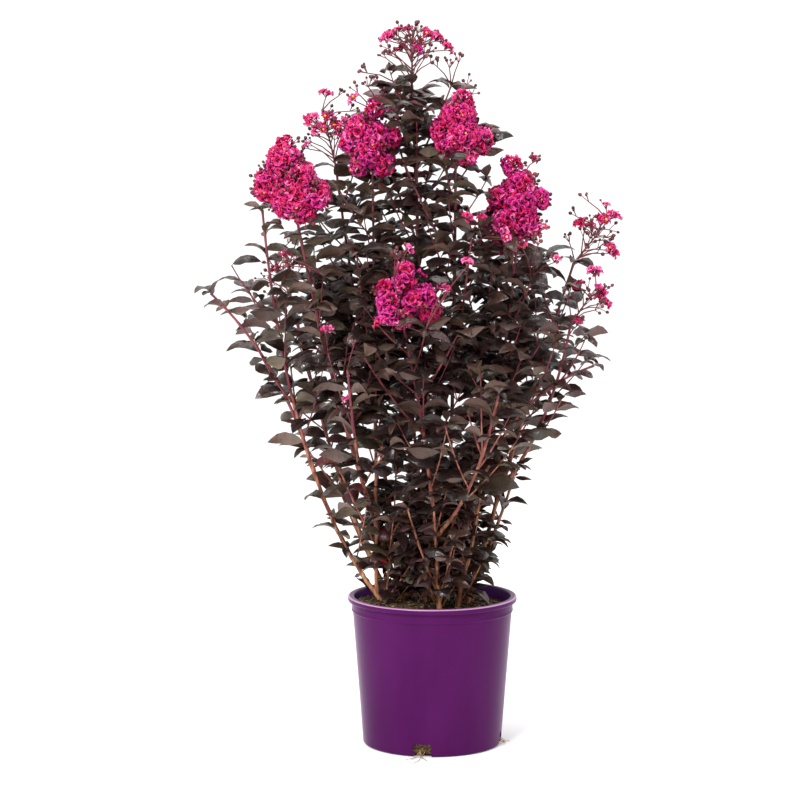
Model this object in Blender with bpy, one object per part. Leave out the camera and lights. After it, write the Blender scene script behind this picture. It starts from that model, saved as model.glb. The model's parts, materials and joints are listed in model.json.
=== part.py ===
"""A potted crape myrtle: a vase-shaped shrub of many canes in a round nursery pot.

Canes rise from the potting mix and fan outwards, boughs spring from their sides, and each cane or
bough ends where it enters its own mass of leafy twigs. Flower panicles sit on the ends of the masses.
Metres, +Z up, the front towards -Y, the origin at the centre of the pot's underside.
"""

import math
import random
from collections import namedtuple

import bmesh
import bpy
import numpy as np
from mathutils import Matrix, Vector
from mathutils.bvhtree import BVHTree

# Pot, a tapered plastic shell with a rolled lip and four drain notches at the heel
POT_HEIGHT = 0.247
POT_LIP_RADIUS = 0.140
POT_TOP_RADIUS = 0.1318
POT_BASE_RADIUS = 0.1146
POT_WALL = 0.0022
POT_FLOOR = 0.003
POT_HEEL = 0.004
LIP_HEIGHT = 0.009
LIP_EDGE = 0.002
BAND_HEIGHT = 0.026
BAND_STEP = 0.0014
POT_SIDES = 36
NOTCH_COUNT = 4
NOTCH_WIDTH = 0.030
NOTCH_HEIGHT = 0.021
NOTCH_DEPTH = 0.014
NOTCH_TURN = math.radians(-99)

# Potting mix, a little below the lip
SOIL_DROP = 0.020
SOIL_EDGE_ROUND = 0.003

# Canes and boughs
GAP = 0.0003
CANE_RADIUS = 0.0040
BOUGH_RADIUS = 0.0031
LIMB_TIP_RADIUS = 0.0020
FLARE = 1.45
FLARE_HEIGHT = 0.020
COLLAR = 1.6
LIMB_SIDES = 6
LIMB_STEP = 0.065

# Leafy twigs. A share is of the size named before it, and a pair of numbers is a range to draw from.
NODE_PITCH = 0.046
NODE_TURN = math.radians(98)
PAIR_OFFSET = 0.007
STEM_SIDES = 3
LOW_STEM_RADIUS = 0.0025
LOW_STEM_OUT = 0.5
LOW_STEM_UP = 0.4
STEM_TIP_RADIUS = 0.0018
TWIG_RADIUS = 0.0021
TWIG_TIP_RADIUS = 0.0017
TWIG_LENGTH = 0.110
TWIG_SHORTER = 0.5
TWIG_SPREAD = (0.85, 1.15)
TWIG_ANGLE = math.radians(46)
TWIG_RISE = 0.35
TWIG_EVERY = 3
TWIG_SWINGS = (0.0, 0.6, -0.6, 1.2, -1.2, 2.0, -2.0)
TWIG_JITTER = 0.3
LEAF_LENGTH = 0.088
LOW_LEAF_SHARE = 0.74
TWIG_LEAF_SHARE = 0.9
TIP_LEAF_SHARE = 0.8
LEAF_SHORTER = 0.25
LEAF_SPREAD = (0.9, 1.1)
LEAF_SCALES = (1.0, 0.85, 0.7)
LEAF_TURNS = (0.0, 0.5, -0.5, 1.0, -1.0)
LEAF_HANG = (-0.75, 0.35)
LEAF_ROLL = 0.6
LEAF_SUNK = 0.003
LEAF_WIDTH = 0.50
LEAF_WIDEST = 0.46
LEAF_FOLD = 0.12
LEAF_ROOT = 0.0011
SPACE_MARGIN = 0.0012
LIMB_CLEAR = 0.0008

# Flower panicles
STALK_RADIUS = 0.0018
STALK_SHARE = 0.85
BLOSSOM_RINGS = 7
BLOSSOM_SIDES = 10
BLOSSOM_START = 0.04
BLOSSOM_WIDEST = 0.33
BLOSSOM_ROUGH = (-0.30, 0.12)
BLOSSOM_RAGGED = 0.25
BUD = 0.0085
BRANCHLETS = 5
BRANCHLETS_START = 0.26
BRANCHLETS_SPAN = 0.45
BRANCHLET_RISE = 0.55

# The crown's reach at each height: to the left, to the right, and to the front or the back
Reach = namedtuple("Reach", "height left right depth")
CROWN = (
    Reach(0.245, 0.110, 0.105, 0.105),
    Reach(0.30, 0.150, 0.112, 0.130),
    Reach(0.36, 0.203, 0.125, 0.165),
    Reach(0.44, 0.208, 0.170, 0.195),
    Reach(0.51, 0.272, 0.212, 0.235),
    Reach(0.60, 0.290, 0.258, 0.265),
    Reach(0.645, 0.305, 0.306, 0.280),
    Reach(0.69, 0.365, 0.292, 0.290),
    Reach(0.775, 0.387, 0.292, 0.290),
    Reach(0.83, 0.318, 0.260, 0.265),
    Reach(0.90, 0.308, 0.215, 0.225),
    Reach(0.97, 0.250, 0.150, 0.175),
    Reach(1.06, 0.150, 0.120, 0.120),
    Reach(1.13, 0.085, 0.060, 0.060),
    Reach(1.20, 0.040, 0.030, 0.030),
)

# Each cane: its foot on the mix (degrees round from +X, and radius), the end of its leafy shoot, how much
# of the sideways and the upward travel is done by the bend, and the share of it that is bare limb.
Cane = namedtuple("Cane", "place foot_deg foot_radius tip out up bare")
CANES = (
    Cane("far_left", 206, 0.078, (-0.275, -0.060, 0.885), 0.79, 0.28, 0.50),
    Cane("left", 160, 0.046, (-0.218, -0.100, 0.872), 0.60, 0.42, 0.44),
    Cane("front", 279, 0.063, (-0.046, -0.150, 0.692), 0.05, 0.46, 0.40),
    Cane("leader", 200, 0.012, (-0.034, 0.000, 1.085), 0.10, 0.45, 0.45),
    Cane("right", 322, 0.050, (0.136, -0.040, 0.825), 0.62, 0.42, 0.48),
    Cane("outer_right", 12, 0.058, (0.232, 0.020, 0.795), 0.42, 0.45, 0.46),
    Cane("upper_right", 52, 0.038, (0.036, -0.045, 0.958), 0.95, 0.50, 0.45),
    Cane("upper_left", 128, 0.058, (-0.160, 0.060, 0.955), 0.55, 0.42, 0.45),
    Cane("back_right", 48, 0.070, (0.132, 0.150, 0.800), 0.60, 0.42, 0.42),
    Cane("back", 88, 0.072, (-0.044, 0.200, 0.690), 0.62, 0.42, 0.42),
    Cane("back_left", 150, 0.078, (-0.235, 0.150, 0.720), 0.60, 0.38, 0.44),
    Cane("rear_right", 30, 0.074, (0.218, 0.160, 0.700), 0.38, 0.50, 0.44),
)

# Each bough: the limb that it springs from and where along that limb's bare part, then the same sizes.
Bough = namedtuple("Bough", "place parent share tip out up bare")
BOUGHS = (
    Bough("upright", "far_left", 0.14, (-0.098, -0.030, 0.942), 0.06, 0.45, 0.48),
    Bough("far_left_low", "far_left", 0.92, (-0.360, -0.050, 0.750), 0.30, 0.62, 0.25),
    Bough("outer_right_low", "outer_right", 0.80, (0.222, -0.060, 0.700), 0.75, 0.40, 0.25),
    Bough("far_right", "right", 0.88, (0.262, -0.045, 0.632), 0.30, 0.75, 0.25),
    Bough("front_left", "left", 0.70, (-0.135, -0.215, 0.640), 0.65, 0.32, 0.22),
    Bough("front_right", "front", 0.72, (0.100, -0.205, 0.600), 0.70, 0.35, 0.22),
)

# Each low shoot: the cane that it springs from and where along its bare part, how far up the cane it
# rises, the way that it leans in degrees round from +X, and how far.
LowShoot = namedtuple("LowShoot", "place parent share until lean_deg lean")
LOW_SHOOTS = (
    LowShoot("far_left", "far_left", 0.28, 0.40, 270, 0.030),
    LowShoot("left", "left", 0.20, 0.42, 235, 0.050),
    LowShoot("front_left", "front", 0.18, 0.40, 205, 0.045),
    LowShoot("front", "front", 0.30, 0.46, 275, 0.035),
    LowShoot("front_right", "right", 0.20, 0.42, 265, 0.045),
    LowShoot("right", "outer_right", 0.20, 0.44, 290, 0.035),
    LowShoot("rear_right", "rear_right", 0.22, 0.44, 300, 0.030),
    LowShoot("back_right", "back_right", 0.25, 0.44, 90, 0.040),
    LowShoot("back", "back", 0.22, 0.44, 115, 0.045),
    LowShoot("back_left", "back_left", 0.22, 0.44, 110, 0.030),
)

# Each flower panicle: the shoot that it ends, its height, its widest radius, its lean sideways and back,
# and whether it is in full bloom.
Panicle = namedtuple("Panicle", "place height radius lean full")
PANICLES = (
    Panicle("left", 0.128, 0.060, (-0.10, 0.0), True),
    Panicle("upright", 0.122, 0.046, (0.10, 0.0), True),
    Panicle("front", 0.108, 0.047, (0.02, -0.10), True),
    Panicle("right", 0.142, 0.048, (0.02, 0.0), True),
    Panicle("upper_right", 0.118, 0.048, (0.10, -0.10), True),
    Panicle("leader", 0.104, 0.052, (0.05, 0.0), False),
    Panicle("outer_right", 0.105, 0.042, (0.45, 0.0), False),
    Panicle("outer_right_low", 0.085, 0.038, (0.50, 0.0), False),
    Panicle("upper_left", 0.110, 0.045, (-0.10, 0.0), False),
    Panicle("back_right", 0.125, 0.048, (0.10, 0.10), True),
    Panicle("back", 0.108, 0.045, (-0.03, 0.10), True),
    Panicle("back_left", 0.100, 0.042, (-0.2, 0.2), False),
)

SOIL_TOP = POT_HEIGHT - SOIL_DROP
UP = Vector((0, 0, 1))

Piece = namedtuple("Piece", "points faces")


def clear_scene():
    for obj in list(bpy.data.objects):
        bpy.data.objects.remove(obj)


def material(name, colour, roughness):
    made = bpy.data.materials.new(name)
    made.use_nodes = True
    shader = made.node_tree.nodes["Principled BSDF"]
    shader.inputs["Base Color"].default_value = (*colour, 1)
    shader.inputs["Roughness"].default_value = roughness
    shader.inputs["Metallic"].default_value = 0
    return made


def object_of(name, piece, finish):
    mesh = bpy.data.meshes.new(name)
    mesh.from_pydata([tuple(p) for p in piece.points], [], piece.faces)
    mesh.materials.append(finish)
    obj = bpy.data.objects.new(name, mesh)
    bpy.context.scene.collection.objects.link(obj)
    return obj


# The pot and its mix


def wall_radius(z):
    """The pot wall's outer radius at height z."""
    share = z / (POT_HEIGHT - BAND_HEIGHT)
    return POT_BASE_RADIUS + (POT_TOP_RADIUS - POT_BASE_RADIUS) * share


def turned(name, profile, finish):
    """A closed solid spun round Z from a profile whose two ends lie on the axis."""
    mesh = bmesh.new()
    points = [mesh.verts.new((r, 0, z)) for r, z in profile]
    edges = [mesh.edges.new(pair) for pair in zip(points, points[1:])]
    bmesh.ops.spin(
        mesh,
        geom=points + edges,
        cent=(0, 0, 0),
        axis=(0, 0, 1),
        angle=2 * math.pi,
        steps=POT_SIDES,
        use_merge=True,
    )
    bmesh.ops.remove_doubles(mesh, verts=mesh.verts, dist=1e-6)
    bmesh.ops.recalc_face_normals(mesh, faces=mesh.faces)
    data = bpy.data.meshes.new(name)
    mesh.to_mesh(data)
    mesh.free()
    data.materials.append(finish)
    data.shade_smooth()
    data.set_sharp_from_angle(angle=math.radians(35))
    obj = bpy.data.objects.new(name, data)
    bpy.context.scene.collection.objects.link(obj)
    return obj


def build_pot(finish):
    band_bottom = POT_HEIGHT - BAND_HEIGHT
    lip_bottom = POT_HEIGHT - LIP_HEIGHT
    band = POT_TOP_RADIUS + BAND_STEP
    inner = POT_TOP_RADIUS - POT_WALL
    pot = turned(
        "pot",
        [
            (0, 0),
            (POT_BASE_RADIUS - POT_HEEL, 0),
            (POT_BASE_RADIUS, POT_HEEL),
            (POT_TOP_RADIUS, band_bottom),
            (band, band_bottom + BAND_STEP),
            (band, lip_bottom),
            (POT_LIP_RADIUS - LIP_EDGE, lip_bottom),
            (POT_LIP_RADIUS, lip_bottom + LIP_EDGE),
            (POT_LIP_RADIUS, POT_HEIGHT - LIP_EDGE),
            (POT_LIP_RADIUS - LIP_EDGE, POT_HEIGHT),
            (inner, POT_HEIGHT),
            (inner, band_bottom),
            (POT_BASE_RADIUS - POT_WALL, POT_FLOOR + POT_HEEL),
            (POT_BASE_RADIUS - POT_WALL - POT_HEEL, POT_FLOOR),
            (0, POT_FLOOR),
        ],
        finish,
    )
    for k in range(NOTCH_COUNT):
        cut_notch(pot, k)
    return pot


def cut_notch(pot, k):
    """A drain notch through the wall and the floor at the pot's heel."""
    bpy.ops.mesh.primitive_cube_add(size=1)
    cutter = bpy.context.object
    cutter.name = f"notch_{k + 1}"
    angle = NOTCH_TURN + 2 * math.pi * k / NOTCH_COUNT
    cutter.matrix_world = (
        Matrix.Rotation(angle, 4, "Z")
        @ Matrix.Translation((POT_BASE_RADIUS, 0, 0))
        @ Matrix.Diagonal((2 * NOTCH_DEPTH, NOTCH_WIDTH, 2 * NOTCH_HEIGHT, 1))
    )
    cutter.hide_render = True
    cutter.display_type = "WIRE"
    cut = pot.modifiers.new(cutter.name, "BOOLEAN")
    cut.operation = "DIFFERENCE"
    cut.object = cutter


def build_soil(finish):
    bottom = POT_FLOOR + GAP
    waist = POT_FLOOR + POT_HEEL + GAP
    base = POT_BASE_RADIUS - POT_WALL - 2 * GAP
    brim = POT_HEIGHT - BAND_HEIGHT
    top = wall_radius(brim) - POT_WALL - 2 * GAP
    return turned(
        "soil",
        [
            (0, bottom),
            (base - POT_HEEL, bottom),
            (base, waist),
            (top, brim),
            (top, SOIL_TOP - SOIL_EDGE_ROUND),
            (top - SOIL_EDGE_ROUND, SOIL_TOP),
            (0, SOIL_TOP),
        ],
        finish,
    )


# Limbs and twigs: rods along curves


def bend(start, tip, out, up):
    """A curve with one bend. Its control point has done these shares of the way out and up."""
    start, tip = Vector(start), Vector(tip)
    knee = start + (tip - start) * out
    knee.z = start.z + (tip.z - start.z) * up
    return lambda t: (1 - t) ** 2 * start + 2 * t * (1 - t) * knee + t * t * tip


def stretch(curve, first, last, pitch):
    """Points along a curve, about one pitch apart."""
    rough = [curve(first + (last - first) * k / 20) for k in range(21)]
    length = sum((b - a).length for a, b in zip(rough, rough[1:]))
    count = max(1, round(length / pitch))
    return [curve(first + (last - first) * k / count) for k in range(count + 1)]


def across(direction, turn=0.0):
    """A unit vector at right angles to a direction, turned round it."""
    side = direction.cross(Vector((0.31, 0.95, 0.02))).normalized()
    return Matrix.Rotation(turn, 3, direction) @ side


def taper(count, first, last):
    """This many radii, evenly from the first to the last."""
    return [first + (last - first) * k / (count - 1) for k in range(count)]


def rod(points, radii, sides, level_foot=False):
    """A closed tapering rod along points. With level_foot its first ring is cut level."""
    headings = [(b - a).normalized() for a, b in zip(points, points[1:])]
    side = across(headings[0])
    ring_points = []
    for k, (point, radius) in enumerate(zip(points, radii)):
        along = (headings[max(0, k - 1)] + headings[min(k, len(headings) - 1)]).normalized()
        side = (side - along * side.dot(along)).normalized()
        other = along.cross(side)
        for s in range(sides):
            angle = 2 * math.pi * s / sides
            offset = (side * math.cos(angle) + other * math.sin(angle)) * radius
            if k == 0 and level_foot:
                offset -= along * (offset.z / along.z)
            ring_points.append(point + offset)
    faces = [tuple(reversed(range(sides)))]
    for k in range(len(points) - 1):
        for s in range(sides):
            a, b = k * sides + s, k * sides + (s + 1) % sides
            faces.append((a, b, b + sides, a + sides))
    last = (len(points) - 1) * sides
    faces.append(tuple(range(last, last + sides)))
    return Piece(ring_points, faces)


class Limb:
    """A cane or bough: its curve to the end of its leafy shoot, and the points of its bare part."""

    def __init__(self, curve, radius, bare, collar=None):
        self.curve = curve
        self.radius = radius
        self.bare = bare
        self.collar = collar
        self.points = stretch(curve, 0, bare, LIMB_STEP)
        self.radii = taper(len(self.points), radius, self.radius_at(bare))

    def radius_at(self, t):
        return self.radius + (LIMB_TIP_RADIUS - self.radius) * t

    def place(self, share):
        """The point, heading and radius at this share of the bare part's straight pieces."""
        spot = share * (len(self.points) - 1)
        k = min(int(spot), len(self.points) - 2)
        before, after = self.points[k], self.points[k + 1]
        return before.lerp(after, spot - k), (after - before).normalized(), self.radii[k]

    def shape(self, grown=0.0):
        """The limb's rod. With grown it is that much thicker, to keep leaves clear of it."""
        radii = [radius + grown for radius in self.radii]
        if self.collar is not None:
            return rod([self.collar] + self.points, [radii[0]] + radii, LIMB_SIDES)
        rise = self.points[1] - self.points[0]
        ankle = self.points[0] + rise * (FLARE_HEIGHT / rise.z)
        points = [self.points[0], ankle] + self.points[1:]
        return rod(points, [self.radius * FLARE + grown] + radii, LIMB_SIDES, level_foot=True)


def side_start(parent, share, toward, radius):
    """Where a side shoot begins: its collar on the parent's skin, and the point where it turns upwards."""
    at, along, thickness = parent.place(share)
    way = Vector(toward) - at
    way = (way - along * way.dot(along)).normalized()
    skin = thickness + GAP
    return at + way * skin, at + way * (skin + COLLAR * radius)


def grow_limbs():
    limbs = {}
    for cane in CANES:
        angle = math.radians(cane.foot_deg)
        foot = (
            cane.foot_radius * math.cos(angle),
            cane.foot_radius * math.sin(angle),
            SOIL_TOP + GAP,
        )
        limbs[cane.place] = Limb(bend(foot, cane.tip, cane.out, cane.up), CANE_RADIUS, cane.bare)
    for bough in BOUGHS:
        collar, start = side_start(limbs[bough.parent], bough.share, bough.tip, BOUGH_RADIUS)
        curve = bend(start, bough.tip, bough.out, bough.up)
        limbs[bough.place] = Limb(curve, BOUGH_RADIUS, bough.bare, collar)
    return limbs


# Room for leaves: the crown's outline, the nearest stem, and what is there already


def in_crown(points):
    """Whether every point lies within the crown's reach and clear of the pot and the mix."""
    heights = [reach.height for reach in CROWN]
    for p in points:
        left, right, depth = (
            np.interp(p.z, heights, [getattr(reach, side) for reach in CROWN])
            for side in ("left", "right", "depth")
        )
        width = left if p.x < 0 else right
        if (p.x / width) ** 2 + (p.y / depth) ** 2 > 1:
            return False
        if p.z < SOIL_TOP + SPACE_MARGIN:
            return False
        inside = POT_TOP_RADIUS - POT_WALL - SPACE_MARGIN
        if p.z < POT_HEIGHT + SPACE_MARGIN and math.hypot(p.x, p.y) > inside:
            return False
    return True


class Spaces:
    """Each mass's own space holds the points that are nearer to its stem than to any other's."""

    def __init__(self):
        self.starts, self.ends, self.owners, self.names = [], [], [], []

    def add(self, name, points):
        for a, b in zip(points, points[1:]):
            self.starts.append(tuple(a))
            self.ends.append(tuple(b))
            self.owners.append(len(self.names))
        self.names.append(name)

    def close(self):
        self.starts = np.array(self.starts)
        self.ways = np.array(self.ends) - self.starts
        self.owners = np.array(self.owners)

    def holds(self, name, points):
        own = self.owners == self.names.index(name)
        apart = np.array([tuple(p) for p in points])[:, None, :] - self.starts
        share = (apart * self.ways).sum(2) / (self.ways**2).sum(1)
        apart = apart - np.clip(share, 0, 1)[..., None] * self.ways
        distance = np.sqrt((apart**2).sum(2))
        nearest = distance[:, own].min(1)
        others = distance[:, ~own].min(1)
        return bool((nearest + 2 * SPACE_MARGIN < others).all())


class Obstacles:
    """Shapes that leaves and twigs have to miss."""

    def __init__(self):
        self.shapes = []

    def add(self, piece, name=""):
        tree = BVHTree.FromPolygons([tuple(p) for p in piece.points], piece.faces)
        corners = np.array([tuple(p) for p in piece.points])
        self.shapes.append((name, corners.min(0), corners.max(0), tree))

    def touch(self, piece, ignore="nothing"):
        tree = BVHTree.FromPolygons([tuple(p) for p in piece.points], piece.faces)
        corners = np.array([tuple(p) for p in piece.points])
        low, high = corners.min(0), corners.max(0)
        for name, other_low, other_high, other in self.shapes:
            if name == ignore:
                continue
            if (other_low > high).any() or (other_high < low).any():
                continue
            if tree.overlap(other):
                return True
        return False


# Leaves and twigs


def blade(root, along, face, length):
    """A leaf of 8 faces: a small three-cornered root, a fold along its midrib and a point."""
    side = along.cross(face).normalized()
    face = side.cross(along).normalized()
    corners = [math.radians(angle) for angle in (30, 150, 270)]
    points = [root + (side * math.cos(a) + face * math.sin(a)) * LEAF_ROOT for a in corners]
    widest = root + along * (LEAF_WIDEST * length) + face * (LEAF_FOLD * length)
    half = side * (LEAF_WIDTH * length / 2)
    points += [widest + half, widest - half, root + along * length]
    faces = [(0, 1, 2), (0, 2, 3), (2, 5, 3), (2, 4, 5), (1, 4, 2), (0, 3, 5), (0, 5, 1), (1, 5, 4)]
    return Piece(points, faces)


class Mass:
    """One mass of foliage: a stem, twigs that branch from it by a seeded rule, and leaves on both."""

    def __init__(self, name, points, radius, spaces, obstacles, base, size):
        self.name = name
        self.points = points
        self.radius = radius
        self.spaces = spaces
        self.obstacles = obstacles
        self.rng = random.Random(name)
        self.base = base
        self.size = size
        self.own = Obstacles()
        self.pieces = []

    def put(self, piece, on, name=""):
        """Adds the piece where it has room, touching nothing but the twig that it grows on."""
        if not in_crown(piece.points) or not self.spaces.holds(self.name, piece.points):
            return False
        if self.obstacles.touch(piece) or self.own.touch(piece, on):
            return False
        self.pieces.append(piece)
        self.own.add(piece, name)
        return True

    def put_leaf(self, point, along, out, size, twig):
        """A leaf that leaves its twig outwards and hangs a little, turned or made smaller to find room."""
        for scale in LEAF_SCALES:
            for turn in LEAF_TURNS:
                way = Matrix.Rotation(turn, 3, along) @ out
                way = (way - UP * way.dot(UP)).normalized() + UP * self.rng.uniform(*LEAF_HANG)
                face = UP + along * 0.3 + way.cross(UP) * self.rng.uniform(-LEAF_ROLL, LEAF_ROLL)
                length = LEAF_LENGTH * self.size * size * scale
                if self.put(blade(point, way.normalized(), face, length), twig):
                    return

    def leaves_along(self, points, twig, size, taken):
        """A pair of leaves at each point, turned on from pair to pair and not quite opposite."""
        start = self.rng.uniform(0, math.pi)
        for k in range(1, len(points)):
            along = (points[k] - points[k - 1]).normalized()
            scale = size * (1 - LEAF_SHORTER * k / (len(points) - 1)) * self.rng.uniform(*LEAF_SPREAD)
            for half in (0, 1):
                if (k, half) not in taken:
                    out = across(along, start + k * NODE_TURN + half * math.pi)
                    at = points[k] - along * (PAIR_OFFSET * half + LEAF_SUNK)
                    self.put_leaf(at, along, out, scale, twig)

    def tip_leaf(self, points, twig):
        along = (points[-1] - points[-2]).normalized()
        length = LEAF_LENGTH * self.size * TIP_LEAF_SHARE
        self.put(blade(points[-1] - along * LEAF_SUNK, along, UP + across(along), length), twig)

    def grow(self, leafy_tip):
        last = len(self.points) - 1
        radii = [self.radius] + taper(last + 1, self.radius, STEM_TIP_RADIUS)
        stem = rod([self.base] + self.points, radii, STEM_SIDES)
        self.pieces.append(stem)
        self.own.add(stem, "stem")
        taken, twigs = set(), []
        for k in range(1, last, TWIG_EVERY):
            half = self.rng.choice((0, 1))
            twig = self.grow_twig(k, k / last)
            if twig:
                taken.add((k, half))
                twigs.append((f"twig_{k}", twig))
        self.leaves_along(self.points, "stem", 1.0, taken)
        if leafy_tip:
            self.tip_leaf(self.points, "stem")
        for name, twig in twigs:
            self.leaves_along(twig, name, TWIG_LEAF_SHARE, set())
            self.tip_leaf(twig, name)

    def grow_twig(self, k, share):
        """A side twig from the stem's point k, shorter towards the stem's end, curving upwards."""
        root = self.points[k]
        along = (root - self.points[k - 1]).normalized()
        outwards = math.atan2(root.y, root.x)
        radii = taper(3, TWIG_RADIUS, TWIG_TIP_RADIUS)
        for swing in TWIG_SWINGS:
            angle = outwards + swing + self.rng.uniform(-TWIG_JITTER, TWIG_JITTER)
            out = Vector((math.cos(angle), math.sin(angle), 0))
            out = (out - along * out.dot(along)).normalized()
            way = along * math.cos(TWIG_ANGLE) + out * math.sin(TWIG_ANGLE)
            half = TWIG_LENGTH * (1 - TWIG_SHORTER * share) * self.rng.uniform(*TWIG_SPREAD) / 2
            middle = root + way * half
            points = [root, middle, middle + (way + UP * TWIG_RISE).normalized() * half]
            if self.put(rod(points, radii, STEM_SIDES), "stem", f"twig_{k}"):
                return points
        return None


# Flower panicles


def bud(middle, radius):
    """A knob with 8 faces."""
    points = [middle + Vector(way) * radius * sign for way in np.eye(3) for sign in (1, -1)]
    faces = [(0, 2, 4), (2, 1, 4), (1, 3, 4), (3, 0, 4), (2, 0, 5), (1, 2, 5), (3, 1, 5), (0, 3, 5)]
    return Piece(points, faces)


def stalk(tip, along, axis, height):
    """A panicle's stalk: flush with the shoot's end, then up the panicle's own axis."""
    foot = tip + along * GAP
    turn = foot + along * (COLLAR * STALK_RADIUS)
    return rod([foot, turn, turn + axis * height], taper(3, STALK_RADIUS, TWIG_TIP_RADIUS), STEM_SIDES)


def full_panicle(base, axis, height, radius, rng):
    """A blunt cone of blossom with an uneven, knobbly surface."""
    points = [base + axis * (height * BLOSSOM_START)]
    steepness = math.log(0.5) / math.log(BLOSSOM_WIDEST)
    for ring in range(BLOSSOM_RINGS):
        share = (ring + 0.5) / BLOSSOM_RINGS
        width = radius * math.sin(math.pi * share**steepness)
        ragged = BLOSSOM_RAGGED / BLOSSOM_RINGS
        for k in range(BLOSSOM_SIDES):
            angle = 2 * math.pi * (k + 0.5 * (ring % 2)) / BLOSSOM_SIDES
            out = across(axis, angle) * (width * (1 + rng.uniform(*BLOSSOM_ROUGH)))
            lift = axis * (height * (share + rng.uniform(-ragged, ragged)))
            points.append(base + lift + out)
    points.append(base + axis * height)
    return [Piece(points, ringed_faces(BLOSSOM_RINGS, BLOSSOM_SIDES))]


def ringed_faces(rings, sides):
    """Triangles of a closed skin: a point, rings that are each turned half a step, and a point."""
    last = rings * sides + 1
    faces = []
    for k in range(sides):
        after = (k + 1) % sides
        faces.append((0, 1 + after, 1 + k))
        faces.append((last, last - sides + k, last - sides + after))
        for ring in range(rings - 1):
            low, high = 1 + ring * sides, 1 + (ring + 1) * sides
            if ring % 2:
                faces.append((low + k, high + after, high + k))
                faces.append((low + k, low + after, high + after))
            else:
                faces.append((low + k, low + after, high + k))
                faces.append((low + after, high + after, high + k))
    return faces


def open_panicle(base, axis, height, radius, rng):
    """A loose panicle: branchlets with a knob of buds or blossom on each, shorter upwards."""
    pieces = [bud(base + axis * (height - BUD), BUD)]
    for k in range(BRANCHLETS):
        share = k / (BRANCHLETS - 1)
        out = across(axis, k * NODE_TURN + rng.uniform(-0.3, 0.3))
        reach = (radius - BUD) * (1 - 0.3 * share)
        root = base + axis * (height * (BRANCHLETS_START + BRANCHLETS_SPAN * share))
        end = root + (out + axis * BRANCHLET_RISE) * reach
        pieces.append(rod([root, end], [TWIG_TIP_RADIUS, TWIG_TIP_RADIUS], STEM_SIDES))
        pieces.append(bud(end, BUD * rng.uniform(1.0, 1.5)))
    return pieces


# Joining


def outer_shell(obj):
    """Keeps the mesh's outer shell and drops loose scraps and sealed hollows."""
    mesh = bmesh.new()
    mesh.from_mesh(obj.data)
    bmesh.ops.remove_doubles(mesh, verts=mesh.verts, dist=2e-6)
    left, shells = set(mesh.verts), []
    while left:
        shell, edge = set(), [next(iter(left))]
        while edge:
            vert = edge.pop()
            if vert not in shell:
                shell.add(vert)
                edge.extend(link.other_vert(vert) for link in vert.link_edges)
        left -= shell
        shells.append(shell)
    shells.sort(key=len)
    for shell in shells[:-1]:
        bmesh.ops.delete(mesh, geom=list(shell), context="VERTS")
    mesh.to_mesh(obj.data)
    mesh.free()


def fused(name, pieces, finish):
    """One closed solid from overlapping closed pieces, by one union on a collection."""
    first = object_of(name, pieces[0], finish)
    group = bpy.data.collections.new(name + "_pieces")
    for k, piece in enumerate(pieces[1:]):
        part = object_of(f"{name}_piece_{k}", piece, finish)
        bpy.context.scene.collection.objects.unlink(part)
        group.objects.link(part)
    union = first.modifiers.new("fuse", "BOOLEAN")
    union.operation = "UNION"
    union.solver = "EXACT"
    union.operand_type = "COLLECTION"
    union.collection = group
    bpy.context.view_layer.update()
    graph = bpy.context.evaluated_depsgraph_get()
    joined = bpy.data.meshes.new_from_object(first.evaluated_get(graph))
    first.modifiers.remove(union)
    first.data = joined
    joined.name = name
    for part in list(group.objects):
        bpy.data.objects.remove(part)
    bpy.data.collections.remove(group)
    outer_shell(first)
    return first


# The whole plant


def top_mass_stem(limb):
    """The stem of a limb's own mass: the rest of the limb's curve, its foot flush with the limb's end."""
    points = stretch(limb.curve, limb.bare, 1, NODE_PITCH)
    end = (limb.points[-1] - limb.points[-2]).normalized()
    points[0] = points[0] + end * (GAP + COLLAR * LOW_STEM_RADIUS)
    return points[0] - end * (COLLAR * LOW_STEM_RADIUS), points


def low_mass_stem(limb, shoot):
    """The stem of a low shoot: its foot on the cane's bark, rising beside the cane and leaning out."""
    angle = math.radians(shoot.lean_deg)
    way = Vector((math.cos(angle), math.sin(angle), 0))
    at = limb.place(shoot.share)[0]
    collar, start = side_start(limb, shoot.share, at + way, LOW_STEM_RADIUS)
    end = limb.curve(shoot.until) + way * shoot.lean
    return collar, stretch(bend(start, end, LOW_STEM_OUT, LOW_STEM_UP), 0, 1, NODE_PITCH)


def build_panicle(panicle, tip, along, finish):
    axis = (along + Vector((*panicle.lean, 0))).normalized()
    rng = random.Random(panicle.place)
    fill = full_panicle if panicle.full else open_panicle
    pieces = [stalk(tip, along, axis, panicle.height * STALK_SHARE)]
    pieces += fill(tip, axis, panicle.height, panicle.radius, rng)
    return fused(f"panicle_{panicle.place}", pieces, finish)


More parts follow.
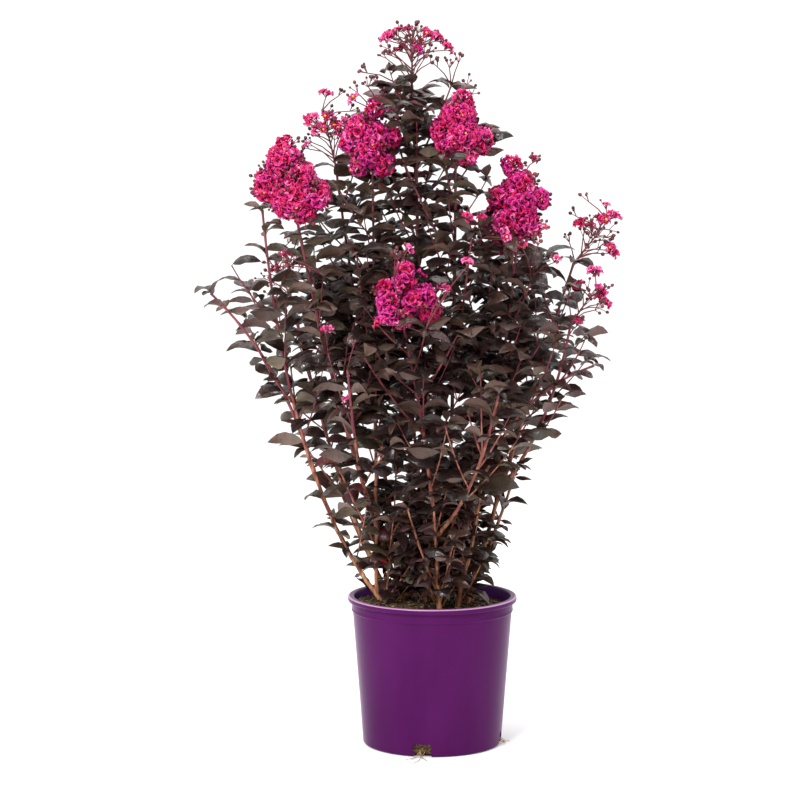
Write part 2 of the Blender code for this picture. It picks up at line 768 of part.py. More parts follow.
def main():
    clear_scene()
    plastic = material("plastic", (0.098, 0.014, 0.115), 0.38)
    mix = material("mix", (0.035, 0.022, 0.014), 0.95)
    bark = material("bark", (0.33, 0.16, 0.08), 0.7)
    foliage = material("foliage", (0.045, 0.018, 0.016), 0.45)
    blossom = material("blossom", (0.68, 0.02, 0.22), 0.6)
    build_pot(plastic)
    build_soil(mix)

    limbs = grow_limbs()
    obstacles = Obstacles()
    canes = {cane.place for cane in CANES}
    for place, limb in limbs.items():
        kind = "cane" if place in canes else "bough"
        object_of(f"{kind}_{place}", limb.shape(), bark)
        obstacles.add(limb.shape(grown=LIMB_CLEAR))

    stems = {}
    for place, limb in limbs.items():
        stems[f"leaves_{place}"] = (*top_mass_stem(limb), limb.radius_at(limb.bare))
    for shoot in LOW_SHOOTS:
        stems[f"low_leaves_{shoot.place}"] = (*low_mass_stem(limbs[shoot.parent], shoot), LOW_STEM_RADIUS)
    spaces = Spaces()
    for name, (base, points, radius) in stems.items():
        spaces.add(name, points)
    spaces.close()

    flowering = {f"leaves_{panicle.place}" for panicle in PANICLES}
    for panicle in PANICLES:
        points = stems[f"leaves_{panicle.place}"][1]
        along = (points[-1] - points[-2]).normalized()
        obj = build_panicle(panicle, points[-1], along, blossom)
        grown = [v.co + v.normal * LIMB_CLEAR for v in obj.data.vertices]
        obstacles.add(Piece(grown, [tuple(f.vertices) for f in obj.data.polygons]))
    for name, (base, points, radius) in stems.items():
        size = LOW_LEAF_SHARE if name.startswith("low") else 1.0
        mass = Mass(name, points, radius, spaces, obstacles, base, size)
        mass.grow(leafy_tip=name not in flowering)
        fused(name, mass.pieces, foliage)


main()
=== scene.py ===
"""The finish of a potted crape myrtle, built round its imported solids.

Metres, +Z up, the front towards -Y, the origin at the centre of the pot's underside. The sections follow
the plant from the pot upwards: pot, potting mix, canes and boughs, root fibres, leafy shoots, leaves,
blossom, studio.
"""

import json
import math
import random
from collections import namedtuple
from itertools import product

import bmesh
import bpy
import numpy as np
from mathutils import Matrix, Vector, noise

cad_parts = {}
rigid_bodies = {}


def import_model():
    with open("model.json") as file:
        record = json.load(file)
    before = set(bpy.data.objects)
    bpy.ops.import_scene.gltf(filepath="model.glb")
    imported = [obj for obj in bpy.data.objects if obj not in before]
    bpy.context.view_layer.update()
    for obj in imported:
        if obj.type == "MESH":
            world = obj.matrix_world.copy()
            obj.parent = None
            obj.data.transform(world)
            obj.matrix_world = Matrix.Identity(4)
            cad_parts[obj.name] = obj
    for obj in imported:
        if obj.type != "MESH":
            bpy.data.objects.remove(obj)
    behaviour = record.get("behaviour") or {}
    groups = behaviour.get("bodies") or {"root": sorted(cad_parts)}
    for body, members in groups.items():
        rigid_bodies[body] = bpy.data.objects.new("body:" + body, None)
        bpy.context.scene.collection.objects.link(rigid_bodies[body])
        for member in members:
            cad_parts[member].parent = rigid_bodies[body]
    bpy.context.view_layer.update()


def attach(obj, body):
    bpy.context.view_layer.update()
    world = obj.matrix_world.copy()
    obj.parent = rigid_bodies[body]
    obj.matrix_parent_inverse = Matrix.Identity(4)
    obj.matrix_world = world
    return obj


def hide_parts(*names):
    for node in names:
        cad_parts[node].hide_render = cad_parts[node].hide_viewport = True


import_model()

# The pot
# A nursery pot: one thin tapered shell of moulded purple plastic, with a rolled lip and a shallow band
# under it. Four drain notches are cut through the wall and the floor at its heel.

POT_HEIGHT = 0.247
POT_LIP_RADIUS = 0.140
POT_TOP_RADIUS = 0.1318
POT_BASE_RADIUS = 0.1146
POT_WALL = 0.0022
POT_FLOOR = 0.003
POT_HEEL = 0.004
POT_SIDES = 144
POT_CREASE = math.radians(38)
LIP_HEIGHT = 0.009
LIP_EDGE = 0.0030
BAND_HEIGHT = 0.026
BAND_STEP = 0.0014
LEDGE = 0.0007
LEDGE_HEIGHT = 0.0022
CORNER_STEPS = 5
# How far in from the lip's edge, and how far upward a face must look, to take the painted highlight
HIGHLIGHT_WIDE = 0.0045
HIGHLIGHT_FACING = 0.35
INNER_SLACK = 0.0005
NOTCH_COUNT = 4
NOTCH_WIDTH = 0.030
NOTCH_HEIGHT = 0.021
NOTCH_DEPTH = 0.014
NOTCH_CORNER = 0.0015
NOTCH_TURN = math.radians(-99)
MOTTLE_FROM, MOTTLE_TO = 0.35, 0.65
UP = Vector((0, 0, 1))


def screen(colour):
    """A colour given as it looks on a screen, 0 to 255, as the shader's linear values."""
    return (*((value / 255) ** 2.2 for value in colour), 1)


def finish(name, colour, roughness, **sockets):
    """A material of one colour. More sockets of its shader are named with _ for each space."""
    made = bpy.data.materials.new(name)
    made.use_nodes = True
    inputs = made.node_tree.nodes["Principled BSDF"].inputs
    inputs["Base Color"].default_value = screen(colour)
    inputs["Roughness"].default_value = roughness
    for socket, value in sockets.items():
        inputs[socket.replace("_", " ")].default_value = value
    return made


def add(tree, kind, inputs=None, **settings):
    """A new node. Each input, by its identifier, takes a plain value or another node's output."""
    node = tree.nodes.new(kind)
    for name, value in settings.items():
        setattr(node, name, value)
    for key, value in (inputs or {}).items():
        entry = next(socket for socket in node.inputs if socket.identifier == key)
        if isinstance(value, bpy.types.NodeSocket):
            tree.links.new(value, entry)
        else:
            entry.default_value = value
    return node


def drive(made, source, socket):
    """Lets a node's output set one socket of the material's shader."""
    made.node_tree.links.new(source, made.node_tree.nodes["Principled BSDF"].inputs[socket])


def grain(made, scale, stretch=(1, 1, 1), detail=3.0):
    """A noise over the piece, so many cells to the metre, for one of the material's inputs."""
    tree = made.node_tree
    place = add(tree, "ShaderNodeTexCoord").outputs["Object"]
    sized = add(tree, "ShaderNodeMapping", {"Vector": place, "Scale": stretch}).outputs["Vector"]
    return add(tree, "ShaderNodeTexNoise", {"Vector": sized, "Scale": scale, "Detail": detail}).outputs["Fac"]


def mottle(made, source, *colours):
    """Colours the material by a noise, from the first colour to the last."""
    ramp = add(made.node_tree, "ShaderNodeValToRGB", {"Fac": source})
    stops = ramp.color_ramp.elements
    while len(stops) < len(colours):
        stops.new(0.5)
    for k, colour in enumerate(colours):
        stops[k].position = MOTTLE_FROM + (MOTTLE_TO - MOTTLE_FROM) * k / (len(colours) - 1)
        stops[k].color = screen(colour)
    drive(made, ramp.outputs["Color"], "Base Color")


def dull(made, source, low, high):
    """Varies the material's roughness by a noise."""
    sweep = add(made.node_tree, "ShaderNodeMapRange", {"Value": source, "To Min": low, "To Max": high})
    drive(made, sweep.outputs["Result"], "Roughness")


def emboss(made, source, depth, strength):
    """Raises the material's surface by a noise, this deep in metres."""
    bump = add(made.node_tree, "ShaderNodeBump", {"Height": source, "Distance": depth, "Strength": strength})
    drive(made, bump.outputs["Normal"], "Normal")


def arc(start, knee, tip):
    """A curve of one bend, for t from 0 to 1, that sets off towards its knee."""
    return lambda t: (1 - t) ** 2 * start + 2 * t * (1 - t) * knee + t * t * tip


def rounded(corners):
    """An outline of (radius, height) with each corner rounded by the radius given with it."""
    outline = [corners[0][:2]]
    for before, (r, z, size), after in zip(corners, corners[1:], corners[2:]):
        corner = Vector((r, z))
        start = corner + (Vector(before[:2]) - corner).normalized() * size
        end = corner + (Vector(after[:2]) - corner).normalized() * size
        turn = arc(start, corner, end)
        outline += [tuple(turn(k / (CORNER_STEPS - 1))) for k in range(CORNER_STEPS)]
    return outline + [corners[-1][:2]]


def turned(outline, sides):
    """A closed mesh spun round Z from an outline whose two ends lie on the axis."""
    mesh = bmesh.new()
    points = [mesh.verts.new((r, 0, z)) for r, z in outline]
    edges = [mesh.edges.new(pair) for pair in zip(points, points[1:])]
    turn = {"cent": (0, 0, 0), "axis": UP, "angle": 2 * math.pi, "steps": sides}
    bmesh.ops.spin(mesh, geom=points + edges, use_merge=True, **turn)
    bmesh.ops.remove_doubles(mesh, verts=mesh.verts, dist=1e-6)
    bmesh.ops.recalc_face_normals(mesh, faces=mesh.faces)
    return mesh


def smoothed(data, crease):
    """Smooths a mesh but for edges sharper than the crease."""
    data.shade_smooth()
    data.set_sharp_from_angle(angle=crease)


def piece_of(name, mesh, *finishes):
    """An object of a bmesh or a mesh."""
    if isinstance(mesh, bmesh.types.BMesh):
        data = bpy.data.meshes.new(name)
        mesh.to_mesh(data)
        mesh.free()
    else:
        data = mesh
    for made in finishes:
        data.materials.append(made)
    obj = bpy.data.objects.new(name, data)
    bpy.context.scene.collection.objects.link(obj)
    return obj


def made_plain(obj):
    """Applies an object's modifiers and leaves it as a plain mesh."""
    bpy.context.view_layer.update()
    graph = bpy.context.evaluated_depsgraph_get()
    result = bpy.data.meshes.new_from_object(obj.evaluated_get(graph))
    obj.modifiers.clear()
    obj.data = result
    result.name = obj.name


def part_of_plant(piece, slot, *nodes):
    """Lets a piece ride on the plant's one body and hides the parts that it replaces. Its slot is not used.
    """
    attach(piece, "root")
    for node in nodes:
        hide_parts(node)


band_bottom = POT_HEIGHT - BAND_HEIGHT
lip_bottom = POT_HEIGHT - LIP_HEIGHT
band_radius = POT_TOP_RADIUS + BAND_STEP
ledge_radius = band_radius + LEDGE
ledge_bottom = band_bottom + BAND_STEP
inner_radius = POT_TOP_RADIUS - POT_WALL
pot_outline = rounded(
    [
        (0, 0, 0),
        (POT_BASE_RADIUS, 0, POT_HEEL),
        (POT_TOP_RADIUS, band_bottom, 0.0006),
        (ledge_radius, ledge_bottom, 0.0007),
        (ledge_radius, ledge_bottom + LEDGE_HEIGHT, 0.0008),
        (band_radius, ledge_bottom + 2 * LEDGE_HEIGHT, 0.0010),
        (band_radius, lip_bottom, 0.0012),
        (POT_LIP_RADIUS, lip_bottom, LIP_EDGE),
        (POT_LIP_RADIUS, POT_HEIGHT, LIP_EDGE),
        (inner_radius, POT_HEIGHT, LIP_EDGE),
        (inner_radius, band_bottom, 0.0015),
        (POT_BASE_RADIUS - POT_WALL, POT_FLOOR, POT_HEEL),
        (0, POT_FLOOR, 0),
    ]
)

sheen = {"Sheen_Weight": 0.30, "Sheen_Roughness": 0.26, "Sheen_Tint": (0.85, 0.48, 0.88, 1)}
pot_plastic = finish("pot_plastic", (71, 22, 73), 0.28, Specular_IOR_Level=0.05, **sheen)
mottle(pot_plastic, grain(pot_plastic, 14, (1, 1, 0.35)), (68, 20, 70), (74, 24, 76))
dull(pot_plastic, grain(pot_plastic, 55, (1, 1, 0.5), 5), 0.24, 0.38)
emboss(pot_plastic, grain(pot_plastic, 900), 0.00012, 0.35)
# A painted highlight: the lip's rounded top edge takes a pale colour where the light catches it.
lip_scuffed = finish("lip_scuffed", (168, 124, 162), 0.35)
# The inside of the wall is the same plastic, painted a lighter violet: painted light, for the light that
# shines through the thin wall.
pot_inside = finish("pot_inside", (92, 30, 128), 0.45, Specular_IOR_Level=0.2)
mottle(pot_inside, grain(pot_inside, 20), (84, 26, 118), (100, 36, 138))

nursery_pot = piece_of("nursery_pot", turned(pot_outline, POT_SIDES), pot_plastic)
notch_cutters = []
for k in range(NOTCH_COUNT):
    cutter = bmesh.new()
    bmesh.ops.create_cube(cutter, size=1)
    bmesh.ops.scale(cutter, vec=(2 * NOTCH_DEPTH, NOTCH_WIDTH, 2 * NOTCH_HEIGHT), verts=cutter.verts)
    level_edges = [e for e in cutter.edges if abs(e.verts[0].co.x - e.verts[1].co.x) > NOTCH_DEPTH]
    bmesh.ops.bevel(cutter, geom=level_edges, offset=NOTCH_CORNER, segments=3, affect="EDGES", profile=0.5)
    bmesh.ops.translate(cutter, vec=(POT_BASE_RADIUS, 0, 0), verts=cutter.verts)
    turn = Matrix.Rotation(NOTCH_TURN + 2 * math.pi * k / NOTCH_COUNT, 3, "Z")
    bmesh.ops.rotate(cutter, matrix=turn, verts=cutter.verts)
    notch = piece_of(f"notch_{k}", cutter)
    cut = nursery_pot.modifiers.new(notch.name, "BOOLEAN")
    cut.operation = "DIFFERENCE"
    cut.object = notch
    notch_cutters.append(notch)
made_plain(nursery_pot)
for notch in notch_cutters:
    bpy.data.objects.remove(notch)
smoothed(nursery_pot.data, POT_CREASE)
nursery_pot.data.materials.append(lip_scuffed)
nursery_pot.data.materials.append(pot_inside)
for face in nursery_pot.data.polygons:
    out = math.hypot(face.center.x, face.center.y)
    faces_in = face.normal.dot(face.center) < 0
    # Painted light on the wall's inward faces above the heel.
    if face.center.z > POT_HEEL and faces_in and out < inner_radius + INNER_SLACK:
        face.material_index = 2
    # Painted highlight on the faces of the lip's outer edge that look upwards.
    if face.center.z > lip_bottom and face.normal.z > HIGHLIGHT_FACING and out > POT_LIP_RADIUS - HIGHLIGHT_WIDE:
        face.material_index = 1
part_of_plant(nursery_pot, "pot", "pot")

# The potting mix
# Dark composted bark that fills the pot to a finger's width below its lip, heaped a little towards the
# front left. Chips, wood flecks and bits of moss lie loose on it.

SOIL_TOP = POT_HEIGHT - 0.020
SOIL_GAP = 0.0006
SOIL_SIDES = 96
SOIL_RINGS = 26
SOIL_EDGE = 0.003
SOIL_CREASE = math.radians(60)
SOIL_SWELL = 0.0022
SWELL_REACH = 0.131
SWELL_SHARPNESS = 12
HEAP = 0.015
HEAP_AT = Vector((-0.095, -0.035))
HEAP_REACH = 0.090
CLODS = 0.0027
CLOD_SIZE = 0.014
CRUMBS_FINER = 2.6
HEAP_AT_WALL, HEAP_GAIN = 0.7, 0.3
CLODS_AT_WALL, CLODS_GAIN = 0.25, 0.75
CHIP_CORNERS = 6


def heap(x, y):
    """How far the mix rises at this place, less towards the pot's wall."""
    inward = max(0.0, 1 - (math.hypot(x, y) / SWELL_REACH) ** SWELL_SHARPNESS)
    mound = math.exp(-((Vector((x, y)) - HEAP_AT).length / HEAP_REACH) ** 2)
    crumbs = noise.noise(Vector((x, y, 0)) / CLOD_SIZE)
    crumbs += 0.5 * noise.noise(Vector((y, x, 3)) / CLOD_SIZE * CRUMBS_FINER)
    heaped = HEAP * mound * (HEAP_AT_WALL + HEAP_GAIN * inward)
    return SOIL_SWELL * inward + heaped + (CLODS_AT_WALL + CLODS_GAIN * inward) * CLODS * crumbs


soil_base = POT_BASE_RADIUS - POT_WALL - SOIL_GAP
soil_rim = inner_radius - SOIL_GAP
soil_bottom = POT_FLOOR + SOIL_GAP
soil_outline = [(0, soil_bottom), (soil_base - POT_HEEL, soil_bottom), (soil_base, soil_bottom + POT_HEEL)]
soil_outline += [(soil_rim, band_bottom), (soil_rim, SOIL_TOP - SOIL_EDGE)]
soil_outline += [((soil_rim - SOIL_EDGE) * (1 - k / SOIL_RINGS), SOIL_TOP) for k in range(SOIL_RINGS + 1)]
soil_mesh = turned(soil_outline, SOIL_SIDES)
for vert in soil_mesh.verts:
    if vert.co.z > SOIL_TOP - 1.5 * SOIL_EDGE:
        vert.co.z += heap(vert.co.x, vert.co.y)

compost = finish("compost", (44, 34, 26), 0.95, Specular_IOR_Level=0.2)
mottle(compost, grain(compost, 260, detail=6), (36, 27, 18), (74, 58, 40), (120, 98, 64))
emboss(compost, grain(compost, 420, detail=8), 0.0016, 0.9)
potting_mix = piece_of("potting_mix", soil_mesh, compost)
smoothed(potting_mix.data, SOIL_CREASE)
part_of_plant(potting_mix, "soil", "soil")


def new_tree(name, sizes):
    """A geometry tree with a named input for each (name, kind, value), and its first and last node."""
    tree = bpy.data.node_groups.new(name, "GeometryNodeTree")
    tree.interface.new_socket("Geometry", in_out="INPUT", socket_type="NodeSocketGeometry")
    tree.interface.new_socket("Geometry", in_out="OUTPUT", socket_type="NodeSocketGeometry")
    for size, kind, value in sizes:
        made = tree.interface.new_socket(size, in_out="INPUT", socket_type=f"NodeSocket{kind}")
        if value is not None:
            made.default_value = value
    return tree, tree.nodes.new("NodeGroupInput").outputs, tree.nodes.new("NodeGroupOutput").inputs


def run_tree(obj, tree, **values):
    """Runs a geometry tree on an object, with these values at its named inputs, into a plain mesh."""
    modifier = obj.modifiers.new(tree.name, "NODES")
    modifier.node_group = tree
    for entry in tree.interface.items_tree:
        key = entry.name.replace(" ", "_").lower()
        if entry.in_out == "INPUT" and key in values:
            modifier[entry.identifier] = values[key]
    made_plain(obj)
    return obj


def copies(tree, shapes, inputs):
    """Sets out a collection's shapes on points and makes the copies real."""
    kept = {"Collection": shapes, "Separate Children": True, "Reset Children": True}
    picked = add(tree, "GeometryNodeCollectionInfo", kept).outputs["Instances"]
    inputs = {"Instance": picked, "Pick Instance": True, **inputs}
    place = add(tree, "GeometryNodeInstanceOnPoints", inputs).outputs["Instances"]
    return add(tree, "GeometryNodeRealizeInstances", {"Geometry": place}).outputs["Geometry"]


def coat(tree, geometry, made, chosen=True):
    """Gives a geometry's chosen faces a material."""
    inputs = {"Geometry": geometry, "Selection": chosen, "Material": made}
    return add(tree, "GeometryNodeSetMaterial", inputs).outputs["Geometry"]


def dress(tree, geometry, code, finishes):
    """Gives each face the material that its code number picks."""
    for k, made in enumerate(finishes):
        pair = {"A_INT": code, "B_INT": k}
        test = add(tree, "FunctionNodeCompare", pair, data_type="INT", operation="EQUAL")
        geometry = coat(tree, geometry, made, test.outputs["Result"])
    return geometry


def read(tree, name, kind="INT"):
    """The value of a named attribute."""
    return add(tree, "GeometryNodeInputNamedAttribute", {"Name": name}, data_type=kind).outputs["Attribute"]


def closed_shape(name, points, faces):
    """A small mesh object that isn't in the scene, for trees to copy."""
    data = bpy.data.meshes.new(name)
    data.from_pydata([tuple(p) for p in points], [], faces)
    return bpy.data.objects.new(name, data)


def shelf(name, shapes):
    """A collection of shapes for trees to pick from, outside the scene."""
    made = bpy.data.collections.new(name)
    for shape in shapes:
        made.objects.link(shape)
    return made


def chip(name, length, width, thickness, rng):
    """A flake of wood with uneven corners round each face."""
    points, count = [], CHIP_CORNERS
    for side in (-1, 1):
        for k in range(count):
            angle = math.pi * (k + rng.uniform(-0.3, 0.3)) / 3
            reach = rng.uniform(0.7, 1.0)
            rise = side * thickness / 2 + rng.uniform(-0.2, 0.2) * thickness
            points.append((math.cos(angle) * length / 2 * reach, math.sin(angle) * width / 2 * reach, rise))
    faces = [tuple(reversed(range(count))), tuple(range(count, 2 * count))]
    faces += [(k, (k + 1) % count, (k + 1) % count + count, k + count) for k in range(count)]
    return closed_shape(name, points, faces)


def scatter_tree():
    """Strews shapes over a ground's upward faces and turns each at random."""
    sizes = [("Density", "Float", 4000.0), ("Seed", "Int", 0), ("Smallest", "Float", 0.5)]
    sizes += [("Largest", "Float", 1.3), ("Shapes", "Collection", None), ("Material", "Material", None)]
    tree, start, end = new_tree("strewn_flecks", sizes)
    normal = add(tree, "GeometryNodeInputNormal").outputs["Normal"]
    level = add(tree, "ShaderNodeSeparateXYZ", {"Vector": normal}).outputs["Z"]
    upward = add(tree, "FunctionNodeCompare", {"A": level, "B": 0.5}, operation="GREATER_THAN")
    ground = {"Mesh": start["Geometry"], "Selection": upward.outputs["Result"]}
    ground |= {"Density": start["Density"], "Seed": start["Seed"]}
    strew = add(tree, "GeometryNodeDistributePointsOnFaces", ground)
    limits = {"Min_001": start["Smallest"], "Max_001": start["Largest"], "Seed": start["Seed"]}
    size = add(tree, "FunctionNodeRandomValue", limits)
    limits = {"Min": (-0.5, -0.5, 0), "Max": (0.5, 0.5, 2 * math.pi)}
    turn = add(tree, "FunctionNodeRandomValue", limits, data_type="FLOAT_VECTOR")
    spots = {"Points": strew.outputs["Points"], "Rotation": turn.outputs["Value"], "Scale": size.outputs[1]}
    flecks = copies(tree, start["Shapes"], spots)
    tree.links.new(coat(tree, flecks, start["Material"]), end["Geometry"])
    return tree


chip_rng = random.Random("chips")
chip_shapes = shelf("bark_chip_shapes", [chip(f"chip_{k}", 0.011, 0.006, 0.0022, chip_rng) for k in range(5)])
slivers = shelf("sliver_shapes", [chip(f"sliver_{k}", 0.013, 0.0022, 0.0014, chip_rng) for k in range(4)])
strewn = scatter_tree()
chip_bark = finish("chip_bark", (50, 36, 26), 0.9, Specular_IOR_Level=0.25)
mottle(chip_bark, grain(chip_bark, 140), (30, 21, 16), (66, 48, 34))
pale_wood = finish("pale_wood", (150, 124, 84), 0.85)
mottle(pale_wood, grain(pale_wood, 200), (108, 84, 54), (186, 162, 120))
moss = finish("moss", (86, 88, 40), 0.95)
mottle(moss, grain(moss, 240), (58, 62, 26), (116, 112, 62))
for name, shapes, made, density, seed, small, large in (
    ("bark_chips", chip_shapes, chip_bark, 13000.0, 3, 0.45, 1.25),
    ("wood_slivers", slivers, pale_wood, 5200.0, 8, 0.3, 1.0),
    ("moss_flecks", slivers, moss, 5200.0, 15, 0.25, 0.8),
):
    ground = piece_of(name, potting_mix.data.copy())
    ground.data.materials.clear()
    sizes = {"density": density, "seed": seed, "smallest": small, "largest": large}
    run_tree(ground, strewn, shapes=shapes, material=made, **sizes)
    part_of_plant(ground, "soil", "soil")

# The canes and boughs
# A dozen canes as thick as a pencil rise from the mix and fan outwards, and boughs spring from their
# sides. Their bark is smooth and tan with thin peeling flakes, and turns red where the wood is young.

CANE_RADIUS = 0.0040
BOUGH_RADIUS = 0.0031
LIMB_TIP_RADIUS = 0.0020
FOOT_GAP = 0.0003
FLARE = 1.2
FLARE_HEIGHT = 0.020
COLLAR = 0.35
COLLAR_LENGTH = 0.008
BARK_PITCH = 0.005
BARK_SIDES = 12
BARK_RELIEF = 0.00045
BARK_STREAKS = 260.0
FLAKE_STRETCH = (1, 1, 0.18)
WOOD_GROWS_RED = 0.33, 0.54
WOOD_RAGGED = 0.25
BROWN_UNTIL, RED_UNTIL = 0.6, 1.4
KNOT_EVERY = 7
KNOT_SWELL = 1.14
KINK = 0.0011
KNOT_TURN = 1.3

Cane = namedtuple("Cane", "place foot_deg foot_radius tip out up bare")
CANES = (
    Cane("far_left", 206, 0.078, (-0.275, -0.060, 0.885), 0.79, 0.28, 0.50),
    Cane("left", 160, 0.046, (-0.218, -0.100, 0.872), 0.60, 0.42, 0.44),
    Cane("front", 279, 0.063, (-0.046, -0.150, 0.692), 0.05, 0.46, 0.40),
    Cane("leader", 200, 0.012, (-0.034, 0.000, 1.085), 0.10, 0.45, 0.45),
    Cane("right", 322, 0.050, (0.136, -0.040, 0.825), 0.62, 0.42, 0.48),
    Cane("outer_right", 12, 0.058, (0.232, 0.020, 0.795), 0.42, 0.45, 0.46),
    Cane("upper_right", 52, 0.038, (0.036, -0.045, 0.958), 0.95, 0.50, 0.45),
    Cane("upper_left", 128, 0.058, (-0.160, 0.060, 0.955), 0.55, 0.42, 0.45),
    Cane("back_right", 48, 0.070, (0.132, 0.150, 0.800), 0.60, 0.42, 0.42),
    Cane("back", 88, 0.072, (-0.044, 0.200, 0.690), 0.62, 0.42, 0.42),
    Cane("back_left", 150, 0.078, (-0.235, 0.150, 0.720), 0.60, 0.38, 0.44),
    Cane("rear_right", 30, 0.074, (0.218, 0.160, 0.700), 0.38, 0.50, 0.44),
)

Bough = namedtuple("Bough", "place parent share tip out up bare")
BOUGHS = (
    Bough("upright", "far_left", 0.14, (-0.098, -0.030, 0.942), 0.06, 0.45, 0.48),
    Bough("far_left_low", "far_left", 0.92, (-0.360, -0.050, 0.750), 0.30, 0.62, 0.25),
    Bough("outer_right_low", "outer_right", 0.80, (0.222, -0.060, 0.700), 0.75, 0.40, 0.25),
    Bough("far_right", "right", 0.88, (0.262, -0.045, 0.632), 0.30, 0.75, 0.25),
    Bough("front_left", "left", 0.70, (-0.135, -0.215, 0.640), 0.65, 0.32, 0.22),
    Bough("front_right", "front", 0.72, (0.100, -0.205, 0.600), 0.70, 0.35, 0.22),
)


def bend(start, tip, out, up):
    """A curve of one bend, whose knee has done these shares of the way out and up."""
    start, tip = Vector(start), Vector(tip)
    knee = start + (tip - start) * out
    knee.z = start.z + (tip.z - start.z) * up
    return arc(start, knee, tip)


def stretch(curve, first, last, pitch):
    """Points along a curve, about one pitch apart."""
    rough = [curve(first + (last - first) * k / 20) for k in range(21)]
    length = sum((b - a).length for a, b in zip(rough, rough[1:]))
    count = max(1, round(length / pitch))
    return [curve(first + (last - first) * k / count) for k in range(count + 1)]


def across(direction, turn=0.0):
    """A unit vector at right angles to a direction, turned round it."""
    side = direction.cross(Vector((0.31, 0.95, 0.02))).normalized()
    return Matrix.Rotation(turn, 3, direction) @ side


Rod = namedtuple("Rod", "points radii tones")


def rod_tree(finishes):
    """Makes a closed tube with the bark's relief along each path, as thick as its points say."""
    sizes = [("Sides", "Int", 8), ("Relief", "Float", 0.0003), ("Streaks", "Float", 200.0)]
    tree, start, end = new_tree("barked_rods", sizes)
    path = add(tree, "GeometryNodeMeshToCurve", {"Mesh": start["Geometry"]}).outputs["Curve"]
    ring = add(tree, "GeometryNodeCurvePrimitiveCircle", {"Resolution": start["Sides"], "Radius": 1.0})
    tube = {"Curve": path, "Profile Curve": ring.outputs["Curve"], "Fill Caps": True}
    tube = add(tree, "GeometryNodeCurveToMesh", {**tube, "Scale": read(tree, "thickness", "FLOAT")})
    place = add(tree, "GeometryNodeInputPosition").outputs["Position"]
    drawn_out = {"Vector": place, "Vector_001": FLAKE_STRETCH}
    long = add(tree, "ShaderNodeVectorMath", drawn_out, operation="MULTIPLY")
    streaks = {"Vector": long.outputs["Vector"], "Scale": start["Streaks"], "Detail": 3}
    flakes = add(tree, "ShaderNodeTexNoise", streaks).outputs["Fac"]
    centred = add(tree, "ShaderNodeMath", {"Value": flakes, "Value_001": 0.5}, operation="SUBTRACT")
    height = {"Value": centred.outputs["Value"], "Value_001": start["Relief"]}
    lift = add(tree, "ShaderNodeMath", height, operation="MULTIPLY").outputs["Value"]
    outward = add(tree, "GeometryNodeInputNormal").outputs["Normal"]
    push = add(tree, "ShaderNodeVectorMath", {"Vector": outward, "Scale": lift}, operation="SCALE")
    raised = {"Geometry": tube.outputs["Mesh"], "Offset": push.outputs["Vector"]}
    raised = add(tree, "GeometryNodeSetPosition", raised).outputs["Geometry"]
    smooth = add(tree, "GeometryNodeSetShadeSmooth", {"Geometry": raised}).outputs["Geometry"]
    real = add(tree, "GeometryNodeRealizeInstances", {"Geometry": smooth}).outputs["Geometry"]
    tree.links.new(dress(tree, real, read(tree, "tone"), finishes), end["Geometry"])
    return tree


def write(data, name, kind, values):
    """Keeps a number or a vector for each point of a mesh, for a tree to read."""
    vectors = kind == "FLOAT_VECTOR"
    values = [c for value in values for c in value] if vectors else list(values)
    data.attributes.new(name, kind, "POINT").data.foreach_set("vector" if vectors else "value", values)


def rods_piece(name, rods, tree, sides, relief, streaks):
    """One piece of all these rods, each a path with a thickness and a tone at every point."""
    edges, first = [], 0
    for rod in rods:
        edges += [(first + k, first + k + 1) for k in range(len(rod.points) - 1)]
        first += len(rod.points)
    data = bpy.data.meshes.new(name)
    data.from_pydata([tuple(p) for rod in rods for p in rod.points], edges, [])
    write(data, "thickness", "FLOAT", (r for rod in rods for r in rod.radii))
    write(data, "tone", "INT", (t for rod in rods for t in rod.tones))
    return run_tree(piece_of(name, data), tree, sides=sides, relief=relief, streaks=streaks)


def wood_tone(z, rng):
    """0 for old tan bark, 1 for brown, 2 for red and 3 for the young pink wood higher up."""
    low, high = WOOD_GROWS_RED
    share = (z - low) / (high - low) + rng.uniform(-WOOD_RAGGED, WOOD_RAGGED)
    return 0 if share < 0 else 1 if share < BROWN_UNTIL else 2 if share < RED_UNTIL else 3


class Limb:
    """A cane or bough: its curve from its foot to the end of its leafy shoot."""

    def __init__(self, curve, radius, bare, foot):
        self.curve, self.radius, self.bare, self.foot = curve, radius, bare, foot

    def radius_at(self, t):
        """Its radius at this share of the curve."""
        return self.radius + (LIMB_TIP_RADIUS - self.radius) * t

    def spot(self, share):
        """The point at this share of the bare part."""
        return self.curve(share * self.bare)

    def rod(self, name):
        """The bare part, with the flare at a cane's foot, knots and a slight wander."""
        rng = random.Random(name)
        points = stretch(self.curve, 0, self.bare, BARK_PITCH)
        radii, tones, tone = [], [], None
        last = len(points) - 1
        for k in range(1, last):
            zigzag = KINK * (1 - abs(k / KNOT_EVERY % 2 - 1) * 2)
            points[k] = points[k] + across(UP, KNOT_TURN * k / KNOT_EVERY) * zigzag
        for k, point in enumerate(points):
            radius = self.radius_at(k / last * self.bare)
            if self.foot == "mix":
                radius *= 1 + (FLARE - 1) * math.exp(-(((point.z - points[0].z) / FLARE_HEIGHT) ** 2))
            else:
                radius *= 1 + COLLAR * math.exp(-((point - points[0]).length / COLLAR_LENGTH))
            if k % KNOT_EVERY == 3:
                radius *= KNOT_SWELL
                tone = None
            if tone is None:
                tone = wood_tone(point.z, rng)
            radii.append(radius)
            tones.append(tone)
        return Rod(points, radii, tones)


